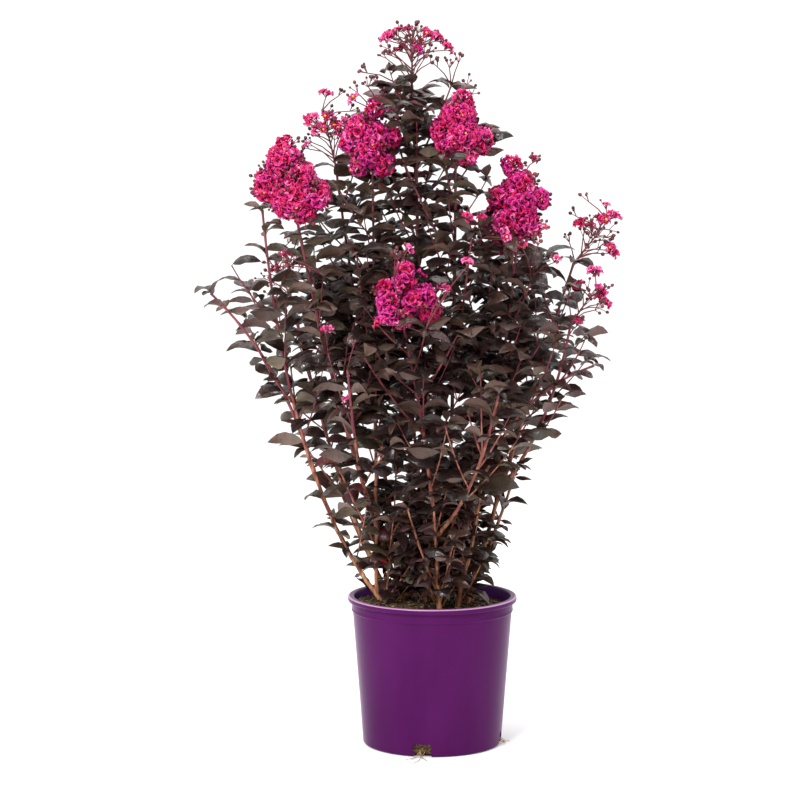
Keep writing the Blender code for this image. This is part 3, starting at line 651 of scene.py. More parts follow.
limbs = {}
for cane in CANES:
    angle = math.radians(cane.foot_deg)
    foot = (cane.foot_radius * math.cos(angle), cane.foot_radius * math.sin(angle), SOIL_TOP + FOOT_GAP)
    limbs[cane.place] = Limb(bend(foot, cane.tip, cane.out, cane.up), CANE_RADIUS, cane.bare, "mix")
for bough in BOUGHS:
    curve = bend(limbs[bough.parent].spot(bough.share), bough.tip, bough.out, bough.up)
    limbs[bough.place] = Limb(curve, BOUGH_RADIUS, bough.bare, "limb")

wood = []
for name, colour, roughness, shine, streaks in (
    ("bark_tan", (150, 104, 74), 0.72, 0.3, ((82, 50, 36), (140, 90, 64), (180, 134, 98))),
    ("bark_brown", (128, 76, 58), 0.66, 0.35, ((78, 44, 38), (132, 80, 60), (170, 120, 88))),
    ("bark_red", (136, 74, 62), 0.55, 0.5, ((98, 50, 44), (140, 76, 64), (172, 118, 90))),
    ("bark_pink", (140, 54, 66), 0.48, 0.5, ((90, 36, 45), (132, 58, 68))),
    ("bark_maroon", (100, 34, 44), 0.5, 0.5, ((78, 24, 34), (120, 46, 56))),
):
    made = finish(name, colour, roughness, Specular_IOR_Level=shine)
    mottle(made, grain(made, 150, (1, 1, 0.2), 5), *streaks)
    emboss(made, grain(made, 700, (1, 1, 0.25), 6), 0.0005, 0.6)
    wood.append(made)
barked_rods = rod_tree(wood)
for name, node, kin in (("canes", "cane", CANES), ("boughs", "bough", BOUGHS)):
    rods = [limbs[limb.place].rod(limb.place) for limb in kin]
    piece = rods_piece(name, rods, barked_rods, BARK_SIDES, BARK_RELIEF, BARK_STREAKS)
    part_of_plant(piece, "bark", *(f"{node}_{limb.place}" for limb in kin))

# The root fibres
# Thin pale roots that have grown out through the drain notches. They hang from the mix there and the
# longest ones lie loose on the ground before the pot.

FIBRES = 6
FIBRE_RADIUS = 0.0005
FIBRE_PITCH = 0.004
FIBRE_LENGTHS = (0.012, 0.060)
FIBRE_WANDER = 0.0013
FIBRE_START = POT_BASE_RADIUS - 0.006
FIBRE_NOTCHES = ((0, 1.0), (math.pi / 2, 0.35))
FIBRE_BESIDE = 0.35
FIBRE_UP = (0.3, 0.8)
FIBRE_FAN = 0.7
FIBRE_FALL = 0.6


def level(angle):
    """A level unit vector at this angle from +X."""
    return Vector((math.cos(angle), math.sin(angle), 0))


fibre_rng = random.Random("root fibres")
fibres = []
for turn_on, share in FIBRE_NOTCHES:
    out = level(NOTCH_TURN + turn_on)
    for _ in range(FIBRES):
        beside = Vector((-out.y, out.x, 0)) * fibre_rng.uniform(-FIBRE_BESIDE, FIBRE_BESIDE) * NOTCH_WIDTH
        start = out * FIBRE_START + beside + UP * fibre_rng.uniform(*FIBRE_UP) * NOTCH_HEIGHT
        heading = Matrix.Rotation(fibre_rng.uniform(-FIBRE_FAN, FIBRE_FAN), 3, UP) @ out
        length = fibre_rng.uniform(*FIBRE_LENGTHS) * share
        points = [start]
        for _ in range(max(3, round(length / FIBRE_PITCH))):
            wander = Vector([fibre_rng.uniform(-FIBRE_WANDER, FIBRE_WANDER) for _ in range(3)])
            point = points[-1] + heading * FIBRE_PITCH - UP * FIBRE_FALL * FIBRE_PITCH + wander
            point.z = max(point.z, FIBRE_RADIUS * 2)
            points.append(point)
        radii = [FIBRE_RADIUS * (1.4 - 0.8 * k / len(points)) for k in range(len(points))]
        fibres.append(Rod(points, radii, [0] * len(points)))
fibre_pale = finish("fibre_pale", (150, 122, 92), 0.8)
mottle(fibre_pale, grain(fibre_pale, 300), (92, 66, 46), (182, 152, 116))
fibre_piece = rods_piece("root_fibres", fibres, rod_tree([fibre_pale]), 5, 0.0002, 600.0)
part_of_plant(fibre_piece, "soil", "soil")

# The leafy shoots
# Every limb runs on into a leafy shoot, and short ones stand beside the canes lower down. Twigs leave them
# between the leaves and carry finer twigs of their own, by one seeded rule and within the crown's reach.

NODE_PITCH = 0.034
NODE_TURN = math.radians(98)
PAIR_OFFSET = 0.006
PAIR_RAGGED = 0.25
ROD_PITCH = 0.009
NODE_SWELL = 1.25
YOUNG_WOOD = 0.08
TWIG_SIDES = 6
TWIG_RELIEF = 0.00018
TWIG_STREAKS = 400.0
LOW_STEM_RADIUS = 0.0022
LOW_STEM_OUT = 0.5
LOW_STEM_UP = 0.4
LOW_STEM_SIZE = 0.85
STEM_TAPER = 0.70
TWIG_RADIUS = 0.0015
TWIG_TIP_RADIUS = 0.0009
TWIG_LENGTH = 0.150
TWIG_SHORTER = 0.45
TWIG_SPREAD = (0.75, 1.2)
TWIG_ANGLE = math.radians(42)
TWIG_RISE = 0.6
TWIG_PITCH = 0.031
TWIG_SIDEWAYS = 0.8
TWIG_SWINGS = (0.0, 0.6, -0.6, 1.2, -1.2, 2.0, -2.0)
TWIG_JITTER = 0.3
TWIG_APART = 0.017
SPRIG_LENGTH = 0.060
SPRIG_RADIUS = 0.0010
SPRIG_PITCH = 0.020
SPRIG_SWING = 1.6
SOFT_EDGE = 0.005
GOLDEN_TURN = math.radians(137.5)

# How far the crown reaches to each side at some heights, as the photo shows it
Reach = namedtuple("Reach", "height left right depth")
CROWN = (
    Reach(0.245, 0.112, 0.122, 0.105),
    Reach(0.30, 0.155, 0.140, 0.130),
    Reach(0.36, 0.203, 0.136, 0.165),
    Reach(0.44, 0.208, 0.170, 0.195),
    Reach(0.51, 0.272, 0.212, 0.235),
    Reach(0.60, 0.290, 0.258, 0.252),
    Reach(0.645, 0.305, 0.296, 0.258),
    Reach(0.69, 0.365, 0.284, 0.262),
    Reach(0.775, 0.380, 0.284, 0.262),
    Reach(0.83, 0.318, 0.268, 0.254),
    Reach(0.90, 0.308, 0.215, 0.225),
    Reach(0.97, 0.250, 0.150, 0.175),
    Reach(1.06, 0.150, 0.120, 0.120),
    Reach(1.13, 0.085, 0.060, 0.060),
    Reach(1.20, 0.040, 0.030, 0.030),
)

LowShoot = namedtuple("LowShoot", "place parent share until lean_deg lean")
LOW_SHOOTS = (
    LowShoot("far_left", "far_left", 0.28, 0.40, 270, 0.030),
    LowShoot("left", "left", 0.20, 0.42, 235, 0.050),
    LowShoot("front_left", "front", 0.18, 0.40, 205, 0.045),
    LowShoot("front", "front", 0.30, 0.46, 275, 0.035),
    LowShoot("front_right", "right", 0.20, 0.42, 265, 0.045),
    LowShoot("right", "outer_right", 0.20, 0.44, 290, 0.035),
    LowShoot("rear_right", "rear_right", 0.22, 0.44, 300, 0.030),
    LowShoot("back_right", "back_right", 0.25, 0.44, 90, 0.040),
    LowShoot("back", "back", 0.22, 0.44, 115, 0.045),
    LowShoot("back_left", "back_left", 0.22, 0.44, 110, 0.030),
)

Panicle = namedtuple("Panicle", "place height radius lean full")
PANICLES = (
    Panicle("left", 0.128, 0.060, (-0.10, 0.0), True),
    Panicle("upright", 0.122, 0.046, (0.10, 0.0), True),
    Panicle("front", 0.108, 0.047, (0.02, -0.10), True),
    Panicle("right", 0.142, 0.048, (0.02, 0.0), True),
    Panicle("upper_right", 0.118, 0.048, (0.10, -0.10), True),
    Panicle("leader", 0.104, 0.052, (0.05, 0.0), False),
    Panicle("outer_right", 0.105, 0.042, (0.45, 0.0), False),
    Panicle("outer_right_low", 0.085, 0.038, (0.50, 0.0), False),
    Panicle("upper_left", 0.110, 0.045, (-0.10, 0.0), False),
    Panicle("back_right", 0.125, 0.048, (0.10, 0.10), True),
    Panicle("back", 0.108, 0.045, (-0.03, 0.10), True),
    Panicle("back_left", 0.100, 0.042, (-0.2, 0.2), False),
)
BLOOM_FOOT = 0.10
FULL_ROOM, OPEN_ROOM = 0.95, 0.45

# Where the growth gets thinner: outwards from and to these shares of the reach, and upwards by height
THIN_OUT = (0.45, 0.92)
THINNER = 1.5
THIN_UP = (0.68, 0.92)
TOP_THINNER = 0.45
TIP = (0.98, 1.05)
TIP_FULLER = 0.85

LEAF_LENGTH = 0.076
TWIG_LEAF_SHARE = 0.95
SPRIG_LEAF_SHARE = 0.80
TIP_LEAF_SHARE = 0.8
TIP_LEAF_TURN = 6.28
TUFT_LEAF = (0.28, 0.48)
TUFT_TURN = 2.4
TUFT_FORWARD = (0.6, 1.4)
TUFT_ROLL = 0.4
TWIG_TUFT, STEM_TUFT = 2, 4
AXIL_TUFTS = 0.3
LEAF_SHORTER = 0.20
LEAF_SPREAD = (0.84, 1.14)
LEAF_SCALES = (1.0, 0.85, 0.70)
LEAF_TURNS = (0.0, 0.45, -0.45, 0.9, -0.9)
LEAF_RISE = (0.25, 1.2)
LEAF_FORWARD = 0.25
LEAF_FOOT = 0.3
LEAST_SIDEWAYS = 0.05
LEAF_ROLL = 0.85
LEAF_APART = 0.0182
LEAF_CLEAR = 0.006
LEAF_MIDDLE = (0.50, 0.10)
LEAF_END = (0.80, 0.42)
LEAF_BEYOND = 0.012
LEAF_BEYOND_FROM = 0.42
LEAF_SHAPES = 12
TONES = ("chocolate", "umber", "olive", "plum", "young", "scarlet")
UMBER, YOUNG, SCARLET = 1, 4, 5
YOUNG_FROM = 0.93
OWN_TONE = 0.75
YOUNG_SHARE = 0.4


def share_of(value, ends):
    """How far a value has gone from the first end to the second, from 0 to 1."""
    return min(1.0, max(0.0, (value - ends[0]) / (ends[1] - ends[0])))


def reach_at(z, side):
    """The crown's reach to this side at this height."""
    for low, high in zip(CROWN, CROWN[1:]):
        if z < high.height or high is CROWN[-1]:
            share = share_of(z, (low.height, high.height))
            return getattr(low, side) + share * (getattr(high, side) - getattr(low, side))


def crown_share(p, beyond=0.0):
    """How far out in the crown a point lies, from 0 at its axis to 1 at its reach, or this far beyond it."""
    width = reach_at(p.z, "left" if p.x < 0 else "right") + beyond
    return math.hypot(p.x / width, p.y / reach_at(p.z, "depth"))


def thinning(p):
    """How much further apart leaves and shoots stand here than in the crown's dense middle."""
    out = share_of(crown_share(p), THIN_OUT)
    up = share_of(p.z, THIN_UP)
    return 1 + (THINNER * out + TOP_THINNER * up * (1 - out)) * (1 - TIP_FULLER * share_of(p.z, TIP))


def in_crown(points, beyond=0.0):
    """Whether every point lies within the crown's reach, or this far beyond it, and clear of the pot."""
    for p in points:
        if crown_share(p, beyond) > 1 or p.z < SOIL_TOP + SOFT_EDGE:
            return False
        if p.z < POT_HEIGHT + SOFT_EDGE and math.hypot(p.x, p.y) > inner_radius - SOFT_EDGE:
            return False
    return True


class Room:
    """What has been placed, as points sorted into cells, so that new growth can keep its distance."""

    def __init__(self, cell):
        self.cell, self.cells = cell, {}

    def key(self, p):
        """The cell that a point lies in."""
        return tuple(math.floor(c / self.cell) for c in p)

    def take(self, points, owner):
        """Keeps these points for their owner."""
        for p in points:
            self.cells.setdefault(self.key(p), []).append((tuple(p), owner))

    def free(self, points, distance, owner=None):
        """Whether nothing else's point lies within this distance, which is at most one cell."""
        for p in points:
            i, j, k = self.key(p)
            for a, b, c in product((-1, 0, 1), repeat=3):
                for (x, y, z), whose in self.cells.get((i + a, j + b, k + c), ()):
                    if whose != owner and (x - p.x) ** 2 + (y - p.y) ** 2 + (z - p.z) ** 2 < distance**2:
                        return False
        return True

    def nearest(self, p, below):
        """The placed point nearest to p among those at least this far below it."""
        near = [spot for spots in self.cells.values() for spot, _ in spots if spot[2] < p.z - below]
        gaps = np.linalg.norm(np.array(near) - np.array(p), axis=1)
        return Vector(near[int(gaps.argmin())])


Bloom = namedtuple("Bloom", "panicle base axis")
blooms = []
for panicle in PANICLES:
    curve = limbs[panicle.place].curve
    along = (curve(1.0) - curve(0.98)).normalized()
    blooms.append(Bloom(panicle, curve(1.0), (along + Vector((*panicle.lean, 0))).normalized()))


def inside_bloom(*points):
    """Whether any of these points is in the room that a flower panicle takes."""
    for p, (panicle, base, axis) in product(points, blooms):
        along = (p - base).dot(axis)
        if BLOOM_FOOT * panicle.height < along < panicle.height:
            if (p - base - axis * along).length < panicle.radius * (FULL_ROOM if panicle.full else OPEN_ROOM):
                return True
    return False


Copy = namedtuple("Copy", "at aim face size shape tone mass", defaults=(None,))
Shoot = namedtuple("Shoot", "name mass curve first last radius size flowering twiggy young")
leaf_room = Room(0.036)
twig_room = Room(0.038)
leaves = []

shoots = []
flowering = {panicle.place for panicle in PANICLES}
for place, limb in limbs.items():
    name, thick = f"leaves_{place}", limb.radius_at(limb.bare)
    shoots.append(Shoot(name, name, limb.curve, limb.bare, 1.0, thick, 1.0, place in flowering, True, YOUNG))
for low in LOW_SHOOTS:
    limb = limbs[low.parent]
    end = limb.curve(low.until) + level(math.radians(low.lean_deg)) * low.lean
    curve = bend(limb.spot(low.share), end, LOW_STEM_OUT, LOW_STEM_UP)
    name = f"low_leaves_{low.place}"
    shoots.append(Shoot(name, name, curve, 0.0, 1.0, LOW_STEM_RADIUS, LOW_STEM_SIZE, False, True, YOUNG))


def spray_tone(p, rng):
    """The tone of a spray of leaves: more purple low on the right, olive on the left, young on top."""
    right = min(1.0, max(0.0, 0.5 + p.x / 0.35))
    low = min(1.0, max(0.0, (0.95 - p.z) / 0.5))
    young = 0.12 + 2.6 * max(0.0, (p.z - 0.95) / 0.2)
    weights = (3.4, 2.6, 1.5 * (1 - right) + 0.25, 0.5 + 2.0 * right * low, young, 0.0)
    return rng.choices(range(len(TONES)), weights)[0]


class Grower:
    """Grows one shoot's twigs and leaves by the seeded rule."""

    def __init__(self, shoot):
        self.shoot = shoot
        self.rng = random.Random(shoot.name)
        self.rods, self.skip, self.grown = [], set(), []
        points = stretch(shoot.curve, shoot.first, shoot.last, ROD_PITCH)
        self.nodes = stretch(shoot.curve, shoot.first, shoot.last, NODE_PITCH)
        self.rod(points, shoot.radius, shoot.radius * STEM_TAPER, self.nodes[1:])

    def rod(self, points, first, last, nodes=()):
        """Keeps a path as a rod, a little thicker where a pair of leaves leaves it."""
        rng = self.rng
        radii, tones = [], []
        tone = wood_tone(points[0].z + YOUNG_WOOD, rng)
        for k, point in enumerate(points):
            radius = first + (last - first) * k / (len(points) - 1)
            if any((point - node).length < ROD_PITCH * 0.5 for node in nodes):
                radius *= NODE_SWELL
                tone = wood_tone(point.z + YOUNG_WOOD, rng)
            radii.append(radius)
            tones.append(tone)
        self.rods.append(Rod(points, radii, tones))
        twig_room.take(points, self.shoot.name)

    def keep_leaf(self, at, aim, face, size, tone):
        """Keeps a leaf of one of the shapes, for the piece of its side of the crown."""
        leaves.append(Copy(at, aim, face, size, self.rng.randrange(LEAF_SHAPES), tone, self.shoot.mass))

    def leaf(self, point, along, out, length, tone):
        """A leaf that leaves its twig outwards and arches over, turned or made smaller to find room."""
        rng = self.rng
        for scale, turn in product(LEAF_SCALES, LEAF_TURNS):
            way = Matrix.Rotation(turn, 3, along) @ out
            flat = Vector((way.x, way.y, 0))
            if flat.length < LEAST_SIDEWAYS:
                continue
            aim = (flat.normalized() + UP * rng.uniform(*LEAF_RISE) + along * LEAF_FORWARD).normalized()
            side = aim.cross(UP).normalized()
            face = (side.cross(aim) + side * rng.gauss(0, LEAF_ROLL)).normalized()
            size = length * scale
            middle, end = (
                point + aim * (ahead * size) - face * (down * size) for ahead, down in (LEAF_MIDDLE, LEAF_END)
            )
            beyond = LEAF_BEYOND if middle.z > LEAF_BEYOND_FROM else 0.0
            if not in_crown((middle, end), beyond) or inside_bloom(middle, end):
                continue
            apart = LEAF_APART * min(1.0, size / LEAF_LENGTH) * thinning(middle)
            if leaf_room.free((middle, end), apart) and twig_room.free((middle,), LEAF_CLEAR):
                leaf_room.take((point + aim * (LEAF_FOOT * size), middle, end), self.shoot.name)
                self.keep_leaf(point, aim, face, size, tone)
                return

    def pairs(self, nodes, size, skip=()):
        """A pair of leaves at each node, turned on from pair to pair and not quite opposite."""
        rng = self.rng
        start = rng.uniform(0, math.pi)
        tone = spray_tone(nodes[-1], rng)
        for k in range(1, len(nodes)):
            along = (nodes[k] - nodes[k - 1]).normalized()
            scale = size * (1 - LEAF_SHORTER * k / (len(nodes) - 1)) * rng.uniform(*LEAF_SPREAD)
            for half in (0, 1):
                if (k, half) not in skip:
                    ragged = rng.uniform(-PAIR_RAGGED, PAIR_RAGGED)
                    out = across(along, start + k * NODE_TURN + half * math.pi + ragged)
                    at = nodes[k] - along * (PAIR_OFFSET * half)
                    own = tone if rng.random() < OWN_TONE else spray_tone(at, rng)
                    self.leaf(at, along, out, LEAF_LENGTH * scale * self.shoot.size, own)

    def tuft(self, point, along, count):
        """Small young leaves in an axil or at a tip."""
        rng = self.rng
        start = rng.uniform(0, math.pi)
        for k in range(count):
            out = across(along, start + k * TUFT_TURN)
            aim = (out + along * rng.uniform(*TUFT_FORWARD)).normalized()
            side = aim.cross(UP)
            side = side.normalized() if side.length > LEAST_SIDEWAYS else out.cross(along).normalized()
            face = (side.cross(aim) + side * rng.uniform(-TUFT_ROLL, TUFT_ROLL)).normalized()
            size = LEAF_LENGTH * rng.uniform(*TUFT_LEAF)
            end = point + aim * size
            if in_crown((end,)) and not inside_bloom(end):
                young = UMBER if self.shoot.young == YOUNG and point.z < YOUNG_FROM else self.shoot.young
                tone = young if rng.random() < YOUNG_SHARE else spray_tone(point, rng)
                self.keep_leaf(point, aim, face, size, tone)

    def side_twig(self, root, along, length, outwards):
        """A twig from this point that curves upwards, as a curve, or None where there is no room."""
        rng = self.rng
        for swing in TWIG_SWINGS:
            out = level(outwards + swing + rng.uniform(-TWIG_JITTER, TWIG_JITTER))
            out = (out - along * out.dot(along)).normalized()
            way = along * math.cos(TWIG_ANGLE) + out * math.sin(TWIG_ANGLE)
            half = length * rng.uniform(*TWIG_SPREAD) / 2
            middle = root + way * half
            end = middle + (way + UP * TWIG_RISE).normalized() * half
            if in_crown((middle, end)) and not inside_bloom(middle, end):
                if twig_room.free((middle, end), TWIG_APART * thinning(end)):
                    return arc(root, middle, end)

    def twigs(self):
        """Side twigs from the stem, to one side and the other by turns, with sprigs on them."""
        rng = self.rng
        last = len(self.nodes) - 1
        for k in range(1, last):
            along = (self.nodes[k] - self.nodes[k - 1]).normalized()
            length = TWIG_LENGTH * (1 - TWIG_SHORTER * k / last) * self.shoot.size
            outwards = math.atan2(self.nodes[k].y, self.nodes[k].x)
            sideways = TWIG_SIDEWAYS if k % 2 else -TWIG_SIDEWAYS
            curve = self.side_twig(self.nodes[k], along, length, outwards + sideways)
            if curve is None:
                continue
            self.skip.add((k, rng.choice((0, 1))))
            nodes = stretch(curve, 0, 1, TWIG_PITCH)
            self.rod(stretch(curve, 0, 1, ROD_PITCH), TWIG_RADIUS, TWIG_TIP_RADIUS, nodes[1:])
            self.grown.append((nodes, TWIG_LEAF_SHARE))
            for j in range(1, len(nodes) - 1, 2):
                heading = (nodes[j] - nodes[j - 1]).normalized()
                aside = outwards + rng.uniform(-SPRIG_SWING, SPRIG_SWING)
                sprig = self.side_twig(nodes[j], heading, SPRIG_LENGTH, aside)
                if sprig is not None:
                    self.rod(stretch(sprig, 0, 1, ROD_PITCH), SPRIG_RADIUS, TWIG_TIP_RADIUS)
                    self.grown.append((stretch(sprig, 0, 1, SPRIG_PITCH), SPRIG_LEAF_SHARE))

    def clothe(self):
        """Leaves on the stem, the twigs and the sprigs, and tufts in the axils and at the tips."""
        rng = self.rng
        self.pairs(self.nodes, 1.0, self.skip)
        for nodes, size in self.grown:
            self.pairs(nodes, size)
            along = (nodes[-1] - nodes[-2]).normalized()
            tone = YOUNG if nodes[-1].z > YOUNG_FROM else UMBER
            out = across(along, rng.uniform(0, TIP_LEAF_TURN))
            self.leaf(nodes[-1], along, out, LEAF_LENGTH * size * TIP_LEAF_SHARE, tone)
            self.tuft(nodes[-1], along, TWIG_TUFT)
        for before, node in zip(self.nodes, self.nodes[1:]):
            if rng.random() < AXIL_TUFTS:
                self.tuft(node, (node - before).normalized(), TWIG_TUFT)
        if not self.shoot.flowering:
            self.tuft(self.nodes[-1], (self.nodes[-1] - self.nodes[-2]).normalized(), STEM_TUFT)


for limb in limbs.values():
    twig_room.take(stretch(limb.curve, 0, limb.bare, ROD_PITCH), "limb")
growers = [Grower(shoot) for shoot in shoots]

SIDE_SHARES = (0.03, 0.12, 0.21, 0.31, 0.42, 0.54, 0.66, 0.78)
SIDE_SPAN = (0.20, 0.34)
SIDE_LEAN = (0.040, 0.095)
SIDE_APART = 0.020
SIDE_RADIUS = 0.0019
SIDE_SIZE = 0.9
SIDE_STAGGER = 1.7
SPROUT_RISE = (0.03, 0.17)
SPROUT_LEAN = (0.010, 0.062)
SPROUT_RADIUS = 0.0014
SPROUT_APART = 0.008
SPROUT_SIZE = 0.72
SPROUTS_PER_CANE = 11
SPROUT_STAGGER = 2.3
SPROUT_FIRST, SPROUT_STEP = 0.004, 0.006
RED_SPROUTS = (("far_left", 2), ("leader", 3), ("back", 2), ("back_left", 6))
TOP_SIZE = 0.8
TopShoot = namedtuple("TopShoot", "first last lean_deg lean")
TOP_SHOOTS = (
    TopShoot(0.80, 0.98, 150, 0.050),
    TopShoot(0.86, 1.01, 165, 0.028),
    TopShoot(0.90, 1.01, 330, 0.042),
    TopShoot(0.86, 1.00, 10, 0.065),
    TopShoot(0.78, 0.96, 45, 0.075),
    TopShoot(0.74, 0.93, 25, 0.115),
    TopShoot(0.76, 0.95, 85, 0.075),
    TopShoot(0.74, 0.94, 275, 0.058),
    TopShoot(0.72, 0.95, 130, 0.100),
    TopShoot(0.78, 0.97, 350, 0.095),
    TopShoot(0.70, 0.92, 240, 0.050),
    TopShoot(0.90, 1.04, 250, 0.020),
    TopShoot(0.92, 1.05, 60, 0.028),
    TopShoot(0.93, 1.03, 120, 0.040),
)


def side_shoot(name, mass, start, end, radius, size, apart=SIDE_APART, young=YOUNG):
    """Grows one more shoot, with leaves but no twigs, where the crown has room for it."""
    curve = bend(start, end, LOW_STEM_OUT, LOW_STEM_UP)
    tests = [curve(0.5), curve(0.75), end]
    if in_crown(tests) and not inside_bloom(*tests) and twig_room.free(tests, apart * thinning(end)):
        growers.append(Grower(Shoot(name, mass, curve, 0.0, 1.0, radius, size, False, False, young)))


def side_of(p):
    """The side of the plant that a point is on."""
    if abs(p.x) > abs(p.y):
        return "left" if p.x < 0 else "right"
    return "front" if p.y < 0 else "back"


# Short shoots round the leader's top
leader = limbs["leader"].curve
for k, top in enumerate(TOP_SHOOTS):
    end = leader(top.last) + level(math.radians(top.lean_deg)) * top.lean
    side_shoot(f"top_{k}", "leaves_leader", leader(top.first), end, SIDE_RADIUS, TOP_SIZE)

# More shoots all the way up each limb, turned on from one to the next
for number, (place, limb) in enumerate(limbs.items()):
    side_rng = random.Random("side shoots of " + place)
    for k, first in enumerate(SIDE_SHARES):
        lean = side_rng.uniform(*SIDE_LEAN)
        last = min(1.0, first + side_rng.uniform(*SIDE_SPAN))
        end = limb.curve(last) + level(GOLDEN_TURN * (k + SIDE_STAGGER * number)) * lean
        side_shoot(f"side_{place}_{k}", f"leaves_{place}", limb.curve(first), end, SIDE_RADIUS, SIDE_SIZE)

# Sprouts from the foot of each cane, a few of them with red young leaves
for number, cane in enumerate(CANES):
    side_rng = random.Random("sprouts of " + cane.place)
    for k in range(SPROUTS_PER_CANE):
        start = limbs[cane.place].curve(SPROUT_FIRST + SPROUT_STEP * k)
        lean = level(GOLDEN_TURN * (k + SPROUT_STAGGER * number)) * side_rng.uniform(*SPROUT_LEAN)
        end = start + lean + UP * side_rng.uniform(*SPROUT_RISE)
        name, mass = f"sprout_{cane.place}_{k}", f"low_leaves_{side_of(end)}"
        young = SCARLET if (cane.place, k) in RED_SPROUTS else YOUNG
        side_shoot(name, mass, start, end, SPROUT_RADIUS, SPROUT_SIZE, SPROUT_APART, young)

for grower in growers:
    if grower.shoot.twiggy:
        grower.twigs()
for grower in growers:
    grower.clothe()

# Each side of the crown: the places of the masses and the low masses that its pieces replace
SIDES = {
    "left": ("far_left far_left_low left", "far_left left"),
    "front": ("front front_left front_right", "front front_left front_right"),
    "top": ("leader upright upper_left upper_right", ""),
    "right": ("right outer_right outer_right_low far_right", "right"),
    "back": ("back back_left back_right rear_right", "back back_left back_right rear_right"),
}
side_masses = {
    side: [f"leaves_{place}" for place in high.split()] + [f"low_leaves_{place}" for place in low.split()]
    for side, (high, low) in SIDES.items()
}
for side, masses in side_masses.items():
    rods = [rod for grower in growers if grower.shoot.mass in masses for rod in grower.rods]
    twigs = rods_piece(f"twigs_{side}", rods, barked_rods, TWIG_SIDES, TWIG_RELIEF, TWIG_STREAKS)
    part_of_plant(twigs, "bark", *masses)

# The leaves
# Small elliptic leaves on short stalks, dark brown to maroon above with a satin sheen, duller and olive
# beneath. Each is folded along its midrib, arches over and ends in a drawn-out point.

LEAF_WIDTH = 0.55
LEAF_SKEW = 0.88
LEAF_FULLNESS = 0.85
LEAF_TAPER = 0.25
STALK_SHARE = 0.055
LEAF_STATIONS = (0.0, STALK_SHARE, 0.16, 0.34, 0.54, 0.74, 0.89, 1.0)
LEAF_COLUMNS = (-1, -0.5, 0, 0.5, 1)
LEAF_THICK = 0.008
MIDRIB = 0.014
STALK_WIDE = 0.012
FOLDS = ((0.7, 1.05), (-0.85, -0.45), (0.5, 0.85), (0.2, 0.5))
ARCH = (1.0, 1.8)
ARCH_LATE = 1.25
UNFOLD = 0.5
EDGE_WAVES = 9
TWIST = (-0.5, 0.5)
CURL = (0.05, 0.45)
WAVE = (0.0, 0.16)
UPPER_SIDE, UNDER_BASE, UNDER_TIP = range(3)


def leaf_half_width(t):
    """Half the leaf's width at this share of its length."""
    if t <= STALK_SHARE:
        return STALK_WIDE
    u = (t - STALK_SHARE) / (1 - STALK_SHARE)
    bulge = math.sin(math.pi * u**LEAF_SKEW) ** LEAF_FULLNESS
    return max(STALK_WIDE, LEAF_WIDTH / 2 * bulge * (1 - LEAF_TAPER * u**3))


def leaf_side(strip, upper):
    """Which of its finishes a strip of the leaf takes."""
    return UPPER_SIDE if upper else UNDER_BASE if strip < 3 else UNDER_TIP


def blade(name, rows, ups, sink, side_of_strip):
    """A closed thin blade of rows of points. Under each inner point lies another, this far down."""
    points, top, under = [], [], []
    for row, up in zip(rows[:-1], ups):
        top.append([len(points) + k for k in range(len(row))])
        points += row
        under.append([top[-1][0], *(len(points) + k for k in range(len(sink))), top[-1][-1]])
        points += [point - up * depth for point, depth in zip(row[1:-1], sink)]
    spots = []
    for point in rows[-1]:
        if point not in points[-1:]:
            points.append(point)
        spots.append(len(points) - 1)
    top.append(spots)
    under.append(spots)
    faces, sides = [], []
    for k in range(len(top) - 1):
        here, there, low, high = top[k], top[k + 1], under[k], under[k + 1]
        for c in range(len(here) - 1):
            faces.append(tuple(dict.fromkeys((here[c], here[c + 1], there[c + 1], there[c]))))
            faces.append(tuple(dict.fromkeys((low[c], high[c], high[c + 1], low[c + 1]))))
            sides += [side_of_strip(k, True), side_of_strip(k, False)]
    faces.append((*under[0], *reversed(top[0][1:-1])))
    sides.append(side_of_strip(0, False))
    shape = closed_shape(name, points, faces)
    shape.data.shade_smooth()
    shape.data.attributes.new("side", "INT", "FACE").data.foreach_set("value", sides)
    rims = {frozenset((a[c], b[c])) for a, b in zip(top, top[1:]) for c in (0, -1)}
    sharp = shape.data.attributes.new("sharp_edge", "BOOLEAN", "EDGE")
    sharp.data.foreach_set("value", [frozenset(edge.vertices) in rims for edge in shape.data.edges])
    return shape


def leaf_shape(name, fold, rng):
    """A leaf one unit long along Y with its face up Z: its two halves folded up, and its tip bent down."""
    fold = rng.uniform(*fold)
    arch, twist, curl, wave = (rng.uniform(*limits) for limits in (ARCH, TWIST, CURL, WAVE))
    phase = rng.uniform(0, math.pi)
    rows, ups = [], []
    at, before = Vector((0, 0, 0)), 0.0
    for t in LEAF_STATIONS:
        heading = -arch * t**ARCH_LATE
        along = Vector((0, math.cos(heading), math.sin(heading)))
        at = at + along * (t - before)
        before = t
        up = Vector((0, -math.sin(heading), math.cos(heading)))
        roll = Matrix.Rotation(twist * t, 3, along)
        half = leaf_half_width(t)
        bent = fold * (1 - UNFOLD * t)
        row = []
        for column in LEAF_COLUMNS:
            across_leaf = abs(column) * half
            rise = math.sin(bent) * across_leaf
            if abs(column) == 1:
                rise += wave * half * math.sin(phase + EDGE_WAVES * t + (column > 0)) - curl * half
            run = math.cos(bent) * across_leaf * (1 if column > 0 else -1)
            row.append(at + roll @ (Vector((run, 0, 0)) + up * rise))
        rows.append(row)
        ups.append(roll @ up)
    rows[-1] = [rows[-1][2]] * len(LEAF_COLUMNS)
    return blade(name, rows, ups, (LEAF_THICK, MIDRIB, LEAF_THICK), leaf_side)


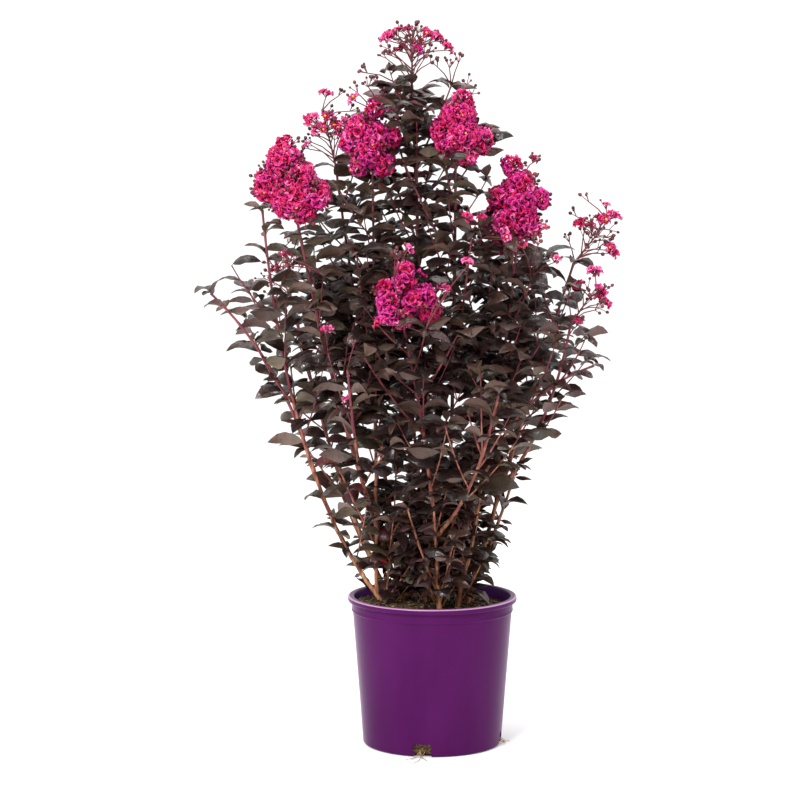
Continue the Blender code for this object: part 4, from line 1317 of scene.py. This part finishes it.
def picked_tree(name, finishes, sides):
    """Sets shapes out on points by each point's aim, face, size and shape, and dresses them by tone."""
    tree, start, end = new_tree(name, [("Shapes", "Collection", None)])
    aim, face = (read(tree, key, "FLOAT_VECTOR") for key in ("aim", "face"))
    axes = {"Primary Axis": aim, "Secondary Axis": face}
    turn = add(tree, "FunctionNodeAxesToRotation", axes, primary_axis="Y", secondary_axis="Z")
    spots = {"Points": start["Geometry"], "Instance Index": read(tree, "shape")}
    spots |= {"Rotation": turn.outputs["Rotation"], "Scale": read(tree, "size", "FLOAT")}
    real = copies(tree, start["Shapes"], spots)
    code = {"Value": read(tree, "tone"), "Value_001": sides, "Value_002": read(tree, "side")}
    code = add(tree, "FunctionNodeIntegerMath", code, operation="MULTIPLY_ADD").outputs[0]
    tree.links.new(dress(tree, real, code, finishes), end["Geometry"])
    return tree


def picked_piece(name, spots, tree, shapes):
    """One piece of a copy at each of these spots."""
    data = bpy.data.meshes.new(name)
    data.from_pydata([tuple(spot.at) for spot in spots], [], [])
    for key in ("aim", "face"):
        write(data, key, "FLOAT_VECTOR", (getattr(spot, key) for spot in spots))
    write(data, "size", "FLOAT", (spot.size for spot in spots))
    for key in ("shape", "tone"):
        write(data, key, "INT", (getattr(spot, key) for spot in spots))
    return run_tree(piece_of(name, data), tree, shapes=shapes)


leaf_rng = random.Random("leaf shapes")
leaf_blades = [leaf_shape(f"leaf_{k}", FOLDS[k % len(FOLDS)], leaf_rng) for k in range(LEAF_SHAPES)]
leaf_shapes = shelf("leaf_shapes", leaf_blades)
# Each tone's upper side, and its underside towards the stalk and towards the tip
leaf_colours = {
    "chocolate": ((36, 25, 24), (86, 68, 60), (92, 72, 66)),
    "umber": ((62, 44, 38), (101, 83, 70), (112, 89, 79)),
    "olive": ((54, 45, 36), (95, 83, 64), (99, 84, 70)),
    "plum": ((55, 36, 37), (89, 70, 65), (102, 75, 72)),
    "young": ((72, 34, 37), (102, 62, 60), (112, 66, 66)),
    "scarlet": ((176, 30, 30), (180, 50, 42), (190, 56, 50)),
}
leaf_finishes = []
for tone in TONES:
    upper, base, tip = leaf_colours[tone]
    leaf_finishes.append(finish(f"leaf_{tone}_upper", upper, 0.34, Specular_IOR_Level=0.52))
    leaf_finishes.append(finish(f"leaf_{tone}_under_base", base, 0.5))
    leaf_finishes.append(finish(f"leaf_{tone}_under", tip, 0.5))
for made in leaf_finishes:
    emboss(made, grain(made, 110, detail=2), 0.0030, 0.7)
leaf_tree = picked_tree("leaves_on_twigs", leaf_finishes, 3)
for side, masses in side_masses.items():
    own = [leaf for leaf in leaves if leaf.mass in masses]
    part_of_plant(picked_piece(f"foliage_{side}", own, leaf_tree, leaf_shapes), "foliage", *masses)

# The blossom
# Upright cones of crinkled pink flowers end the tallest shoots. Each flower has six ruffled petals on thin
# claws round a tuft of yellow stamens, and round maroon buds stand between the flowers on fine stalks.

PETALS = 6
PETAL_LENGTH = 0.0102
PETAL_THICK = 0.03
PETAL_SHAPES = 10
PETAL_COLUMNS = (-1, -0.36, 0.36, 1)
PETAL_STATIONS = ((0.0, 0.05), (0.30, 0.15), (0.68, 0.52), (0.97, 0.46))
PETAL_LIFT = (0.1, 1.1)
PETAL_SPREAD = (0.8, 1.15)
PETAL_OWN_TONE = 0.7
PETAL_RAGGED = 0.2
PETAL_ROLL = 0.6
PETAL_CUP = 0.24
PETAL_NOTCH = (-0.16, 0.10)
PETAL_ROUND = 0.08
RUFFLE = 0.24
CLAW = 0.0010
STAMENS = 0.0024
STAMENS_UP = 0.002
STAMENS_SHOW = 0.04
STAMENS_SPREAD = (0.8, 1.3)
CALYX_RADIUS = 0.0022
CALYX_DOWN = 0.0035
BUD_RADIUS = 0.0031
BUD_STALK = (0.008, 0.017)
BUD_SPREAD = (0.65, 1.15)
BUD_SINK = 0.2
BUD_FAN = (0.35, 0.9)
BUD_RAGGED = 0.4
CLUSTER_TURN = 2.4
PACKING = 0.87
BUD_SPRAYS = 0.05
BRANCHLET_RADIUS = 0.0010
BRANCHLET_RISE = 0.08
FINE_STALK = 0.0006
SPINE_RADIUS = 0.0020
SPINE_STEPS = 8
SPINE_TAPER = 0.07
FULL_SPINE, OPEN_SPINE = 0.9, 0.85
# The bark of the stalks, by its number in wood
MAROON = 4
OPEN_BRANCHLETS = 24
OPEN_WIDEST = 0.052
OPEN_UP_TO = 0.7
OPEN_TAPER = 0.7
OPEN_REACH = (0.6, 1.0)
OPEN_RISE = (0.6, 1.2)
OPEN_BUDS = (2, 3, 4)
FLOWER_GAP = 0.0098
SEAM_GAP = 0.0079
PANICLE_TAPER = 0.62
PANICLE_DOME = 0.9
BRANCH_FROM = 0.62
CLUMP_SINK = 0.8
ROW_LEAST = 0.25
ROW_WANDER = 0.25
LONE_WANDER = 0.5
ROW_DROOP = 0.3
CLUMP_REACH = 0.86
PETAL_OUT = 0.42
FLOWER_RAGGED = (0.92, 1.08)
COVERED = 0.70
LOWEST_WAY = -0.93
STALK_FROM = 0.3
STRAY_SIZE = 0.88
STRAY_STAMENS = 0.2
STRAY_REACH = 0.006
STRAY_BELOW = 0.008
STRAY_RISE = 0.6
STRAY_FAN = 0.8
STRAY_STEP = 0.2

# How often each petal tone shows in a panicle, and in a small cluster of the tone that is named
PETAL_TONES = ("rose", "deep", "magenta", "pale")
BLOOM_TONES = {
    "left": (5, 3.5, 1.5, 1.2),
    "upper_right": (5, 2.5, 2.5, 1.8),
    "upright": (2, 2.5, 5, 1.5),
    "front": (1.5, 2.5, 5, 1.2),
    "right": (2, 4.5, 4, 0.8),
}
COMMON_TONES = (3, 2.5, 2.5, 1.5)
STRAY_TONES = {"rose": (6, 1, 1, 2), "deep": (2, 6, 1, 0), "magenta": (1, 1, 6, 2), "pale": (1, 0, 1, 8)}

# The clumps of flowers in each full panicle that the front shows, from its foot: right, up and radius
LOBES = {
    "left": (
        (-0.0176, 0.117, 0.016),
        (-0.019, 0.091, 0.030),
        (-0.043, 0.057, 0.024),
        (-0.005, 0.042, 0.036),
        (0.032, 0.046, 0.021),
        (0.010, 0.021, 0.019),
        (0.005, 0.071, 0.025),
    ),
    "upright": (
        (0.005, 0.109, 0.016),
        (-0.0156, 0.0736, 0.027),
        (-0.032, 0.056, 0.020),
        (0.001, 0.062, 0.027),
        (0.032, 0.062, 0.0135),
        (-0.022, 0.015, 0.013),
        (0.0164, 0.0216, 0.020),
        (-0.009, 0.037, 0.024),
    ),
    "upper_right": (
        (0.012, 0.105, 0.016),
        (0.005, 0.078, 0.028),
        (-0.022, 0.060, 0.017),
        (0.010, 0.046, 0.031),
        (0.037, 0.040, 0.022),
        (0.0165, 0.024, 0.018),
        (-0.012, 0.037, 0.019),
    ),
    "right": (
        (-0.009, 0.133, 0.016),
        (0.0057, 0.1014, 0.023),
        (-0.0306, 0.083, 0.016),
        (0.0044, 0.0723, 0.029),
        (0.034, 0.080, 0.0165),
        (-0.0225, 0.0458, 0.0188),
        (0.0097, 0.051, 0.021),
        (0.023, 0.038, 0.013),
        (-0.008, 0.026, 0.013),
    ),
    "front": (
        (0.0, 0.102, 0.0135),
        (0.0225, 0.089, 0.011),
        (-0.001, 0.084, 0.0165),
        (-0.029, 0.0715, 0.0145),
        (-0.0255, 0.057, 0.018),
        (-0.022, 0.041, 0.016),
        (-0.0045, 0.036, 0.0145),
        (0.030, 0.060, 0.0185),
        (0.038, 0.040, 0.0165),
        (0.012, 0.060, 0.014),
    ),
}
# The clumps of the other full panicles, as shares of their height and radius: up, right and radius
GUESSED_LOBES = (
    (0.92, 0.0, 0.30),
    (0.72, 0.20, 0.50),
    (0.50, 0.45, 0.55),
    (0.48, -0.40, 0.55),
    (0.26, 0.10, 0.48),
)

# Small clusters and bud sprays between the leaves and on the open panicles. Each has its place, and then
# its flowers, its buds and its petals' tone.
BLOOMLETS = (
    # The leader's open panicle
    ((-0.070, -0.010, 1.156), 5, 1, "rose"),
    ((-0.056, 0.000, 1.164), 4, 1, "rose"),
    ((-0.013, -0.010, 1.162), 5, 1, "rose"),
    ((0.003, 0.000, 1.156), 5, 1, "rose"),
    ((0.018, -0.010, 1.141), 4, 1, "rose"),
    ((-0.029, -0.020, 1.138), 2, 2, "magenta"),
    ((-0.039, 0.000, 1.168), 2, 3, "rose"),
    ((-0.030, 0.006, 1.170), 0, 3, "rose"),
    ((-0.022, 0.022, 1.150), 2, 3, "rose"),
    ((-0.050, 0.026, 1.140), 2, 3, "rose"),
    # Bud sprays on the shoots beside it
    ((-0.106, -0.030, 1.104), 0, 5, "rose"),
    ((-0.104, -0.050, 1.081), 0, 5, "rose"),
    ((-0.090, 0.020, 1.089), 0, 4, "rose"),
    ((0.007, -0.020, 1.114), 0, 5, "rose"),
    ((0.027, 0.010, 1.113), 0, 5, "rose"),
    ((0.041, -0.010, 1.121), 0, 4, "rose"),
    ((0.054, -0.030, 1.085), 0, 3, "rose"),
    ((0.064, 0.000, 1.071), 0, 2, "rose"),
    ((-0.081, -0.050, 1.065), 0, 4, "rose"),
    # The upper left panicle
    ((-0.196, 0.040, 1.026), 6, 1, "rose"),
    ((-0.182, 0.030, 1.011), 6, 1, "rose"),
    ((-0.173, 0.050, 1.030), 4, 2, "rose"),
    ((-0.159, 0.040, 1.010), 5, 1, "deep"),
    ((-0.148, 0.050, 1.021), 4, 2, "rose"),
    ((-0.176, 0.060, 1.066), 3, 1, "pale"),
    ((-0.126, 0.040, 1.060), 3, 1, "pale"),
    ((-0.155, 0.060, 1.069), 0, 3, "rose"),
    ((-0.136, 0.050, 1.044), 0, 5, "rose"),
    ((-0.123, 0.050, 1.074), 0, 3, "rose"),
    ((-0.202, 0.030, 0.982), 1, 1, "rose"),
    ((-0.143, 0.030, 0.998), 1, 3, "rose"),
    ((-0.165, 0.085, 1.020), 3, 2, "rose"),
    # The outer right panicles
    ((0.277, 0.016, 0.861), 7, 1, "rose"),
    ((0.292, 0.016, 0.868), 5, 0, "rose"),
    ((0.244, 0.008, 0.856), 4, 1, "deep"),
    ((0.287, 0.010, 0.812), 6, 1, "rose"),
    ((0.256, 0.020, 0.896), 0, 3, "rose"),
    ((0.285, 0.020, 0.883), 1, 2, "rose"),
    ((0.236, 0.020, 0.872), 0, 3, "rose"),
    ((0.258, 0.010, 0.836), 0, 5, "rose"),
    ((0.271, 0.020, 0.820), 0, 3, "rose"),
    ((0.262, 0.045, 0.850), 2, 2, "rose"),
    ((0.262, -0.058, 0.778), 6, 1, "pale"),
    ((0.238, -0.066, 0.757), 4, 2, "deep"),
    ((0.264, -0.060, 0.750), 4, 2, "rose"),
    ((0.270, -0.058, 0.733), 6, 1, "rose"),
    ((0.231, -0.070, 0.698), 1, 3, "rose"),
    ((0.278, -0.050, 0.754), 0, 3, "rose"),
    # The back left panicle
    ((-0.250, 0.165, 0.800), 5, 2, "rose"),
    ((-0.232, 0.180, 0.786), 4, 2, "rose"),
    ((-0.262, 0.150, 0.772), 2, 3, "deep"),
    ((-0.240, 0.158, 0.760), 1, 3, "rose"),
    ((-0.244, 0.172, 0.822), 0, 5, "rose"),
    # Between the leaves
    ((-0.231, -0.161, 0.812), 1, 2, "rose"),
    ((-0.221, -0.175, 0.8), 0, 4, "rose"),
    ((-0.169, -0.206, 0.696), 2, 3, "pale"),
    ((-0.044, -0.212, 0.823), 2, 1, "pale"),
    ((-0.057, -0.216, 0.811), 0, 5, "pale"),
    ((0.011, -0.232, 0.762), 2, 2, "pale"),
    ((0.05, -0.219, 0.801), 3, 1, "pale"),
    ((0.106, -0.186, 0.845), 3, 1, "pale"),
    ((0.139, -0.181, 0.826), 1, 3, "rose"),
    ((0.169, -0.145, 0.855), 1, 3, "rose"),
    ((0.163, -0.164, 0.832), 0, 6, "rose"),
    ((0.189, -0.16, 0.805), 1, 5, "pale"),
    ((-0.066, -0.06, 1.038), 1, 1, "pale"),
    ((0.053, -0.137, 0.961), 1, 1, "rose"),
    ((0.05, -0.188, 0.873), 2, 2, "rose"),
    ((0.072, -0.184, 0.871), 1, 1, "rose"),
    ((0.161, -0.03, 0.96), 1, 5, "rose"),
    ((-0.08, -0.227, 0.711), 3, 0, "magenta"),
    ((-0.061, -0.214, 0.814), 0, 4, "rose"),
    ((0.016, -0.232, 0.754), 0, 3, "rose"),
    ((-0.136, -0.183, 0.584), 1, 1, "pale"),
    ((-0.126, -0.214, 0.676), 0, 2, "pale"),
)


def petal_shape(name, rng):
    """A petal one unit long along Y: a narrow claw, then a round blade with a crinkled edge."""
    rows = []
    for t, half in PETAL_STATIONS:
        row = []
        for column in PETAL_COLUMNS:
            ruffle = rng.uniform(-RUFFLE, RUFFLE) * (0.5 + abs(column)) if t > 0.5 else 0.0
            notch = rng.uniform(*PETAL_NOTCH) - PETAL_ROUND * abs(column) if t > 0.9 else 0.0
            rise = PETAL_CUP * t**0.5 * (1 - 0.5 * t) + ruffle
            row.append(Vector((column * half, t + notch, rise)))
        rows.append(row)
    # Each strip takes its own finish, so the claw gets the painted shade and the edge the painted highlight.
    return blade(name, rows, [UP] * 4, (PETAL_THICK, PETAL_THICK), lambda strip, upper: strip)


def knob_shape(name, rings, sides, stretch_up, ragged, rng):
    """A small round knob with its foot at the origin and its length up Z."""
    points, last = [(0, 0, 0)], rings * sides + 1
    for ring, k in product(range(rings), range(sides)):
        angle = math.pi * (ring + 1) / (rings + 1)
        turn = 2 * math.pi * (k + 0.5 * (ring % 2)) / sides
        reach = math.sin(angle) * (1 + rng.uniform(-ragged, ragged))
        points.append((reach * math.cos(turn), reach * math.sin(turn), stretch_up * (1 - math.cos(angle))))
    points.append((0, 0, 2.15 * stretch_up))
    faces = []
    for k in range(sides):
        after = (k + 1) % sides
        faces.append((0, 1 + after, 1 + k))
        faces.append((last, last - sides + k, last - sides + after))
        for ring in range(rings - 1):
            low, high = 1 + ring * sides, 1 + (ring + 1) * sides
            if ring % 2:
                faces += [(low + k, high + after, high + k), (low + k, low + after, high + after)]
            else:
                faces += [(low + k, low + after, high + k), (low + after, high + after, high + k)]
    shape = closed_shape(name, points, faces)
    shape.data.shade_smooth()
    return shape


def ball(radius, gap):
    """Unit directions spread evenly over a ball so that neighbours on it are about this far apart."""
    count = max(6, round(4 * math.pi * radius**2 / (PACKING * gap**2)))
    ways = []
    for k in range(count):
        z = 1 - 2 * (k + 0.5) / count
        flat = math.sqrt(1 - z * z)
        ways.append(Vector((flat * math.cos(GOLDEN_TURN * k), flat * math.sin(GOLDEN_TURN * k), z)))
    return ways


def lobes_of(panicle, rng):
    """A panicle's clumps as the front shows them, or guessed ones where it doesn't."""
    if panicle.place in LOBES:
        return LOBES[panicle.place]
    wide = rng.choice((-1, 1)) * panicle.radius
    return [(right * wide, up * panicle.height, share * panicle.radius) for up, right, share in GUESSED_LOBES]


class Inflorescence:
    """Grows the flowers, buds and fine stalks of some panicles and small clusters."""

    def __init__(self):
        self.petals, self.stamens, self.buds, self.rods = [], [], [], []

    def flower(self, at, out, tones, rng, size=1.0, golden=STAMENS_SHOW):
        """Six petals round a point, with the calyx behind and now and then the stamens before them."""
        turn = rng.uniform(0, math.pi)
        tone = rng.choices(range(len(PETAL_TONES)), tones)[0]
        for k in range(PETALS):
            way = across(out, turn + k * math.pi / 3 + rng.uniform(-PETAL_RAGGED, PETAL_RAGGED))
            lift = rng.uniform(*PETAL_LIFT)
            aim = (way * math.cos(lift) + out * math.sin(lift)).normalized()
            side = way.cross(out)
            face = (side.cross(aim) + side * rng.uniform(-PETAL_ROLL, PETAL_ROLL)).normalized()
            if face.dot(out) < 0:
                face = -face
            length = PETAL_LENGTH * size * rng.uniform(*PETAL_SPREAD)
            own = tone if rng.random() < PETAL_OWN_TONE else rng.choices(range(len(PETAL_TONES)), tones)[0]
            self.petals.append(Copy(at + way * CLAW, aim, face, length, rng.randrange(PETAL_SHAPES), own))
        if rng.random() < golden:
            tuft = STAMENS * size * rng.uniform(*STAMENS_SPREAD)
            self.stamens.append(Copy(at + out * STAMENS_UP, across(out), out, tuft, 0, 0))
        self.buds.append(Copy(at - out * CALYX_DOWN * size, across(out), out, CALYX_RADIUS * size, 1, 1))

    def stalk(self, start, end):
        """A branchlet that rises a little on its way."""
        middle = (start + end) / 2 + (end - start).length * BRANCHLET_RISE * UP
        radii = [BRANCHLET_RADIUS * share for share in (1.2, 1, 0.85)]
        self.rods.append(Rod([start, middle, end], radii, [MAROON] * 3))

    def fine_stalk(self, start, end):
        """The thin stalk of one flower or bud."""
        self.rods.append(Rod([start, end], [FINE_STALK * 1.2, FINE_STALK], [MAROON] * 2))

    def bud_spray(self, at, out, rng, count):
        """Round buds on fine stalks from one point."""
        for k in range(count):
            turn = k * CLUSTER_TURN + rng.uniform(-BUD_RAGGED, BUD_RAGGED)
            way = (out + across(out, turn) * rng.uniform(*BUD_FAN)).normalized()
            end = at + way * rng.uniform(*BUD_STALK)
            self.fine_stalk(at, end)
            size = BUD_RADIUS * rng.uniform(*BUD_SPREAD)
            foot = end - way * size * BUD_SINK
            self.buds.append(Copy(foot, across(way), way, size, 0, rng.choice((0, 0, 1))))

    def spine(self, bloom, share):
        """The panicle's main stalk up to this share of its height."""
        height = bloom.panicle.height * share
        steps = range(SPINE_STEPS + 1)
        spine = [bloom.base + bloom.axis * (height * k / SPINE_STEPS) for k in steps]
        radii = [SPINE_RADIUS * (1 - SPINE_TAPER * k) for k in steps]
        self.rods.append(Rod(spine, radii, [MAROON] * len(spine)))
        twig_room.take(spine, "spine")

    def open_panicle(self, bloom):
        """A panicle whose flowers have hardly opened: branchlets up its stalk, with buds at their ends."""
        panicle, base, axis = bloom
        rng = random.Random("buds " + panicle.place)
        self.spine(bloom, OPEN_SPINE)
        count = round(OPEN_BRANCHLETS * (panicle.radius / OPEN_WIDEST) ** 3)
        for k in range(count):
            share = (k + 0.5) / count
            root = base + axis * panicle.height * OPEN_UP_TO * share
            out = across(axis, GOLDEN_TURN * k)
            reach = panicle.radius * (1 - OPEN_TAPER * share) * rng.uniform(*OPEN_REACH)
            end = root + out * reach + axis * reach * rng.uniform(*OPEN_RISE)
            self.stalk(root, end)
            self.bud_spray(end, (out + axis).normalized(), rng, rng.choice(OPEN_BUDS))

    def panicle(self, bloom):
        """A full panicle: clumps on branchlets, each a ball of flowers that face away from its middle."""
        panicle, base, axis = bloom
        rng = random.Random("bloom " + panicle.place)
        tones = BLOOM_TONES.get(panicle.place, COMMON_TONES)
        self.spine(bloom, FULL_SPINE)
        clumps = []
        for right, up, radius in lobes_of(panicle, rng):
            risen = min(1.0, up / panicle.height * PANICLE_DOME)
            wide = panicle.radius * math.sin(math.pi * risen**PANICLE_TAPER)
            room = math.sqrt(max(0.0, wide**2 - right**2)) - radius * CLUMP_SINK
            if room > ROW_LEAST * radius:
                aways = (-room, room * rng.uniform(-ROW_WANDER, ROW_WANDER), room)
            else:
                aways = (radius * rng.uniform(-LONE_WANDER, LONE_WANDER),)
            clumps += [(base + Vector((right, away, up - abs(away) * ROW_DROOP)), radius) for away in aways]
        placed = Room(FLOWER_GAP)
        for middle, radius in clumps:
            along = max(0.0, (middle - base).dot(axis) * BRANCH_FROM)
            self.stalk(base + axis * along, middle)
            reach = radius * CLUMP_REACH - PETAL_LENGTH * PETAL_OUT
            for way in ball(reach, FLOWER_GAP):
                at = middle + way * reach * rng.uniform(*FLOWER_RAGGED)
                others = [(other, size) for other, size in clumps if other != middle]
                inner = any((at - other).length < size * COVERED for other, size in others)
                if inner or not placed.free([at], SEAM_GAP) or way.z < LOWEST_WAY:
                    continue
                placed.take([at], "flower")
                self.fine_stalk(middle + way * radius * STALK_FROM, at)
                if rng.random() < BUD_SPRAYS:
                    self.bud_spray(at, way, rng, 4)
                else:
                    self.flower(at, way, tones, rng)

    def bloomlet(self, place, flowers, buds, tone):
        """A small cluster on a branchlet from the nearest twig below it."""
        rng = random.Random(f"bloomlet {place}")
        place = Vector(place)
        root = twig_room.nearest(place, STRAY_BELOW)
        self.stalk(root, place)
        heading = ((place - root).normalized() + UP * STRAY_RISE).normalized()
        turn = rng.uniform(0, math.pi)
        for k in range(flowers):
            aside = across(heading, turn + k * CLUSTER_TURN) * (STRAY_FAN * math.sqrt(k / 2))
            way = (heading + aside).normalized()
            at = place + way * STRAY_REACH * (1 + STRAY_STEP * k)
            self.fine_stalk(place, at)
            self.flower(at, way, STRAY_TONES[tone], rng, STRAY_SIZE, STRAY_STAMENS)
        self.bud_spray(place, heading, rng, buds)


BLOSSOM_SIDES = {
    "left": ("left", "upper_left"),
    "front": ("front",),
    "top": ("leader", "upright", "upper_right"),
    "right": ("right", "outer_right", "outer_right_low"),
    "back": ("back_right", "back", "back_left"),
}
side_of_bloom = {place: side for side, places in BLOSSOM_SIDES.items() for place in places}
blossoms = {side: Inflorescence() for side in BLOSSOM_SIDES}
for side, blossom in blossoms.items():
    for bloom in blooms:
        if side_of_bloom[bloom.panicle.place] == side:
            grow = blossom.panicle if bloom.panicle.full else blossom.open_panicle
            grow(bloom)
for bloomlet in BLOOMLETS:
    nearest = min(blooms, key=lambda bloom: (bloom.base - Vector(bloomlet[0])).length)
    blossoms[side_of_bloom[nearest.panicle.place]].bloomlet(*bloomlet)

petal_rng = random.Random("petals")
petal_shapes = shelf("petal_shapes", [petal_shape(f"petal_{k}", petal_rng) for k in range(PETAL_SHAPES)])
bud_knob = knob_shape("bud", 3, 6, 1.05, 0.04, petal_rng)
calyx_knob = knob_shape("calyx", 2, 4, 1.05, 0, petal_rng)
bud_shapes = shelf("bud_shapes", [bud_knob, calyx_knob])
stamen_shapes = shelf("stamen_shapes", [knob_shape("stamen_tuft", 3, 6, 0.9, 0.35, petal_rng)])
# Each tone's throat, blade and rim. The throat is darker, as painted shade deep in the flower, and the rim
# paler, as a painted highlight on the crinkled edge
petal_colours = {
    "rose": ((106, 4, 38), (177, 16, 74), (207, 58, 120)),
    "deep": ((94, 1, 32), (158, 5, 58), (190, 30, 92)),
    "magenta": ((104, 2, 56), (166, 16, 98), (200, 56, 138)),
    "pale": ((140, 16, 68), (206, 56, 120), (230, 114, 168)),
}
petal_finishes = [
    finish(f"petal_{tone}_{part}", petal_colours[tone][k], 0.55, Specular_IOR_Level=0.22)
    for tone in PETAL_TONES
    for k, part in enumerate(("throat", "blade", "rim"))
]
bud_finishes = [finish("bud_maroon", (72, 18, 32), 0.42), finish("calyx_red_green", (106, 42, 46), 0.5)]
stamen_finishes = [finish("stamen_yellow", (236, 168, 44), 0.6)]
petal_tree = picked_tree("petals_on_flowers", petal_finishes, 3)
for side, places in BLOSSOM_SIDES.items():
    petals = picked_piece(f"petals_{side}", blossoms[side].petals, petal_tree, petal_shapes)
    part_of_plant(petals, "blossom", *(f"panicle_{place}" for place in places))
all_buds, all_tufts, all_stalks = (
    [spot for blossom in blossoms.values() for spot in getattr(blossom, kind)]
    for kind in ("buds", "stamens", "rods")
)
bud_tree = picked_tree("buds_on_stalks", bud_finishes, 1)
buds = picked_piece("buds", all_buds, bud_tree, bud_shapes)
stamen_tree = picked_tree("stamens_in_flowers", stamen_finishes, 1)
tufts = picked_piece("stamens", all_tufts, stamen_tree, stamen_shapes)
stalks = rods_piece("flower_stalks", all_stalks, barked_rods, 5, 0.00005, 500.0)
for piece in (buds, tufts, stalks):
    part_of_plant(piece, "blossom", *(f"panicle_{panicle.place}" for panicle in PANICLES))

# The studio
# A plain pale floor, soft light from a wide box on each side and above, and the camera that looks at the
# plant from the front, slightly above.

FLOOR_REACH = 12.0
FLOOR_DOWN = 0.0005
FLOOR_PALE = 255 * 0.97 ** (1 / 2.2)
SKY_STRENGTH = 1.135
LIGHTS_LOOK_AT = (0, 0, 0.6)
CAMERA_AT = (-0.0535, -4.1, 0.99)
CAMERA_PITCH = math.radians(5.83)
FOCAL_PIXELS = 2505.0
PHOTO_SIDE = 800
SENSOR = 36.0

floor_mesh = bmesh.new()
bmesh.ops.create_grid(floor_mesh, x_segments=1, y_segments=1, size=FLOOR_REACH)
bmesh.ops.translate(floor_mesh, vec=(0, 0, -FLOOR_DOWN), verts=floor_mesh.verts)
floor_pale = finish("floor_pale", [FLOOR_PALE] * 3, 0.9, Specular_IOR_Level=0.1)
floor = piece_of("studio_floor", floor_mesh, floor_pale)

world = bpy.data.worlds.new("studio")
bpy.context.scene.world = world
world.use_nodes = True
world.node_tree.nodes["Background"].inputs["Color"].default_value = (1, 1, 1, 1)
world.node_tree.nodes["Background"].inputs["Strength"].default_value = SKY_STRENGTH


def soft_box(name, at, width, height, power):
    """A wide area light that looks at the plant's middle."""
    data = bpy.data.lights.new(name, "AREA")
    data.shape = "RECTANGLE"
    data.size = width
    data.size_y = height
    data.energy = power
    obj = bpy.data.objects.new(name, data)
    obj.location = at
    obj.rotation_euler = (Vector(LIGHTS_LOOK_AT) - Vector(at)).to_track_quat("-Z", "Y").to_euler()
    bpy.context.scene.collection.objects.link(obj)


soft_box("key_light", (-1.35, -2.7, 2.6), 1.2, 1.2, 120)
soft_box("fill_light", (2.2, -1.8, 1.4), 1.2, 1.6, 2)
soft_box("top_light", (0.0, 0.6, 3.0), 1.6, 1.6, 30)

camera_data = bpy.data.cameras.new("camera")
camera_data.sensor_width = SENSOR
camera_data.lens = FOCAL_PIXELS * SENSOR / PHOTO_SIDE
camera = bpy.data.objects.new("camera", camera_data)
camera.location = CAMERA_AT
camera.rotation_euler = (math.pi / 2 - CAMERA_PITCH, 0, 0)
bpy.context.scene.collection.objects.link(camera)
bpy.context.scene.camera = camera
bpy.context.scene.view_settings.view_transform = "Standard"
